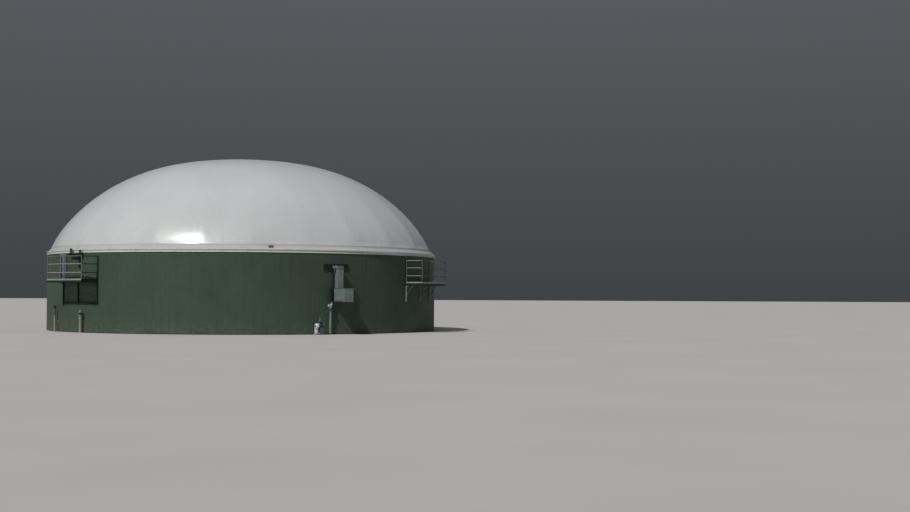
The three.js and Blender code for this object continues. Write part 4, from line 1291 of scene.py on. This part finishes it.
def add_capped_valve(radius):
    """The first riser's valve: a dark body under a bright cap, with a closed stub at its side."""
    part = Part("riser_valve_capped", RISER_BEARINGS[0], "riser_valve_1")
    out, low, height = RISER_OUT, part.box.low, part.box.high - part.box.low
    part.flange(ZINC, (0, out, low), radius + RISER_LIP, 0.020, 0.010)
    body = [(0, radius - 0.004), (0.030, radius - 0.010), (0.085, radius - 0.010), (0.106, radius - 0.002)]
    part.turned(DARK, (0, out, low + 0.018), body, 32)
    cap_low = 0.125
    cap = [(0, 0.066), (0.004, 0.070), (height - cap_low - 0.020, 0.070), (height - cap_low, 0.052)]
    part.turned(DRAIN_PIPE, (0, out, low + cap_low), cap, 32)
    for x, y in circle(4, 1.0, 0.5):
        part.bolt((0.072 * x, out + 0.072 * y, low + 0.19), (x, y, 0), 0.006)
    length = part.box.right - 0.055
    stub = [(0, 0.026), (length - 0.028, 0.026), (length - 0.024, 0.032), (length, 0.032),
            (length + 0.004, 0.022)]
    part.turned(DARK, (0.05, out, low + 0.062), stub, 20, ALONG)
    part.finish("valve_metal")


def add_wheel_valve(radius):
    """The second riser's valve: a dark body with a bonnet, a stem and a spoked hand wheel."""
    part = Part("riser_valve_wheel", RISER_BEARINGS[1], "riser_valve_2")
    out, low = RISER_OUT, part.box.low
    part.flange(ZINC, (0, out, low), radius + RISER_LIP, 0.020, 0.010)
    body = [(0, 0.046), (0.020, 0.044), (0.060, 0.060), (0.140, 0.060), (0.170, 0.048), (0.190, 0.048),
            (0.196, 0.060), (0.214, 0.060), (0.220, 0.046), (0.300, 0.040), (0.330, 0.030), (0.338, 0.030),
            (0.342, 0.012)]
    part.turned(DARK_ZINC, (0, out, low + 0.018), body, 32)
    wheel = part.box.high - 0.013
    height = wheel - low - 0.34
    bonnet = [(0, 0.034), (0.006, 0.044), (height - 0.02, 0.044), (height, 0.034)]
    part.turned(DARK, (0, out, low + 0.335), bonnet, 24)
    rim = [(x, out + y, wheel) for x, y in circle(32, 0.072)]
    part.tube(DARK, rim + rim[:1], 0.0125, 10)
    part.turned(DARK, (0, out, wheel - 0.012), [(0, 0.020), (0.022, 0.016)])
    for x, y in circle(4, 0.073):
        part.tube(DARK, [(0, out, wheel), (x, out + y, wheel)], 0.006, 8)
    part.finish("valve_metal")


# Floor, light and camera
def add_floor():
    mesh = bpy.data.meshes.new("floor")
    corners = [(-1, -1), (1, -1), (1, 1), (-1, 1)]
    mesh.from_pydata([(FLOOR_SIZE * x, FLOOR_SIZE * y, 0) for x, y in corners], [], [(0, 1, 2, 3)])
    mesh.materials.append(FLOOR)
    floor = bpy.data.objects.new("floor", mesh)
    floor.location.z = -0.001
    bpy.context.scene.collection.objects.link(floor)


def add_light():
    """A sun from the front left, and a surround that is pale above and dim at the sides."""
    scene = bpy.context.scene
    sun = bpy.data.lights.new("key", "SUN")
    sun.energy = SUN_STRENGTH
    sun.angle = math.radians(SUN_WIDTH)
    sun.color = SUN_COLOUR
    key = bpy.data.objects.new("key", sun)
    elevation = math.radians(SUN_ELEVATION)
    x, y, z = around(SUN_BEARING, math.cos(elevation), math.sin(elevation))
    key.rotation_euler = Vector((x, -y, z)).to_track_quat("Z", "Y").to_euler()
    scene.collection.objects.link(key)
    world = bpy.data.worlds.new("surround")
    world.use_nodes = True
    tree = world.node_tree
    background = tree.nodes["Background"]
    background.inputs["Color"].default_value = (*SKY_COLOUR, 1.0)
    direction = tree.nodes.new("ShaderNodeSeparateXYZ")
    tree.links.new(tree.nodes.new("ShaderNodeTexCoord").outputs["Generated"], direction.inputs[0])
    climb = tree.nodes.new("ShaderNodeMapRange")
    climb.inputs["To Min"].default_value = SIDE_LIGHT
    climb.inputs["To Max"].default_value = TOP_LIGHT
    tree.links.new(direction.outputs["Z"], climb.inputs["Value"])
    tree.links.new(climb.outputs[0], background.inputs["Strength"])
    scene.world = world
    scene.view_settings.view_transform = "Standard"


def add_camera():
    """The camera stands where the photographer stood, looking a little to the right of the tank."""
    camera = bpy.data.cameras.new("camera")
    camera.sensor_width = 36.0
    camera.lens = LENS
    camera.clip_end = 1000.0
    eye = bpy.data.objects.new("camera", camera)
    yaw = Matrix.Rotation(-math.radians(CAMERA_YAW), 4, "Z")
    pitch = Matrix.Rotation(math.radians(90 + CAMERA_PITCH), 4, "X")
    roll = Matrix.Rotation(math.radians(CAMERA_ROLL), 4, "Z")
    eye.matrix_world = Matrix.Translation((0, -CAMERA_DISTANCE, CAMERA_HEIGHT)) @ yaw @ pitch @ roll
    bpy.context.scene.collection.objects.link(eye)
    bpy.context.scene.camera = eye


add_camera()
add_light()
add_floor()
dress_tank()
add_cladding()
add_roof()
add_skirt()
add_clamp_rail()
add_air_outlet()
# Left platform: the brackets, the frame, the right-hand railing and the left railing's knee rails are
# near-black. This is partly painted shade, for the sides that face away from the sun and the shade under the
# floor.
add_platform("left", LEFT_PLATFORM_BEARING, DARK, {
    "front": (HANDRAIL, ZINC),
    "left": (DARK_ZINC, DARK),
    "right": (DARK, DARK),
})
# Right platform: its steel is dim zinc and its front railing dark zinc, darker than the left platform's zinc.
# This is painted shade, for the grazing light on its sides and the shade on its front.
add_platform("right", RIGHT_PLATFORM_BEARING, DIM_ZINC, {
    "front": (DARK_ZINC, DARK_ZINC),
    "left": (DIM_ZINC, DIM_ZINC),
    "right": (DIM_ZINC, DIM_ZINC),
})
add_cabinet()
add_rope_guide()
add_winch()
add_header()
add_riser_duct()
add_branch()
add_valve_box()
add_valve_bracket()
add_water_pot()
add_elbow()
add_drain_collar()
add_drain_pipe()
blower_out = middle(span("blower_motor", RELIEF_BEARING).deep)
add_blower_housing(blower_out)
add_motor(blower_out)
add_air_pipe(add_outlet(blower_out), blower_out)
add_capped_valve(add_riser_pipe(1))
add_wheel_valve(add_riser_pipe(2))
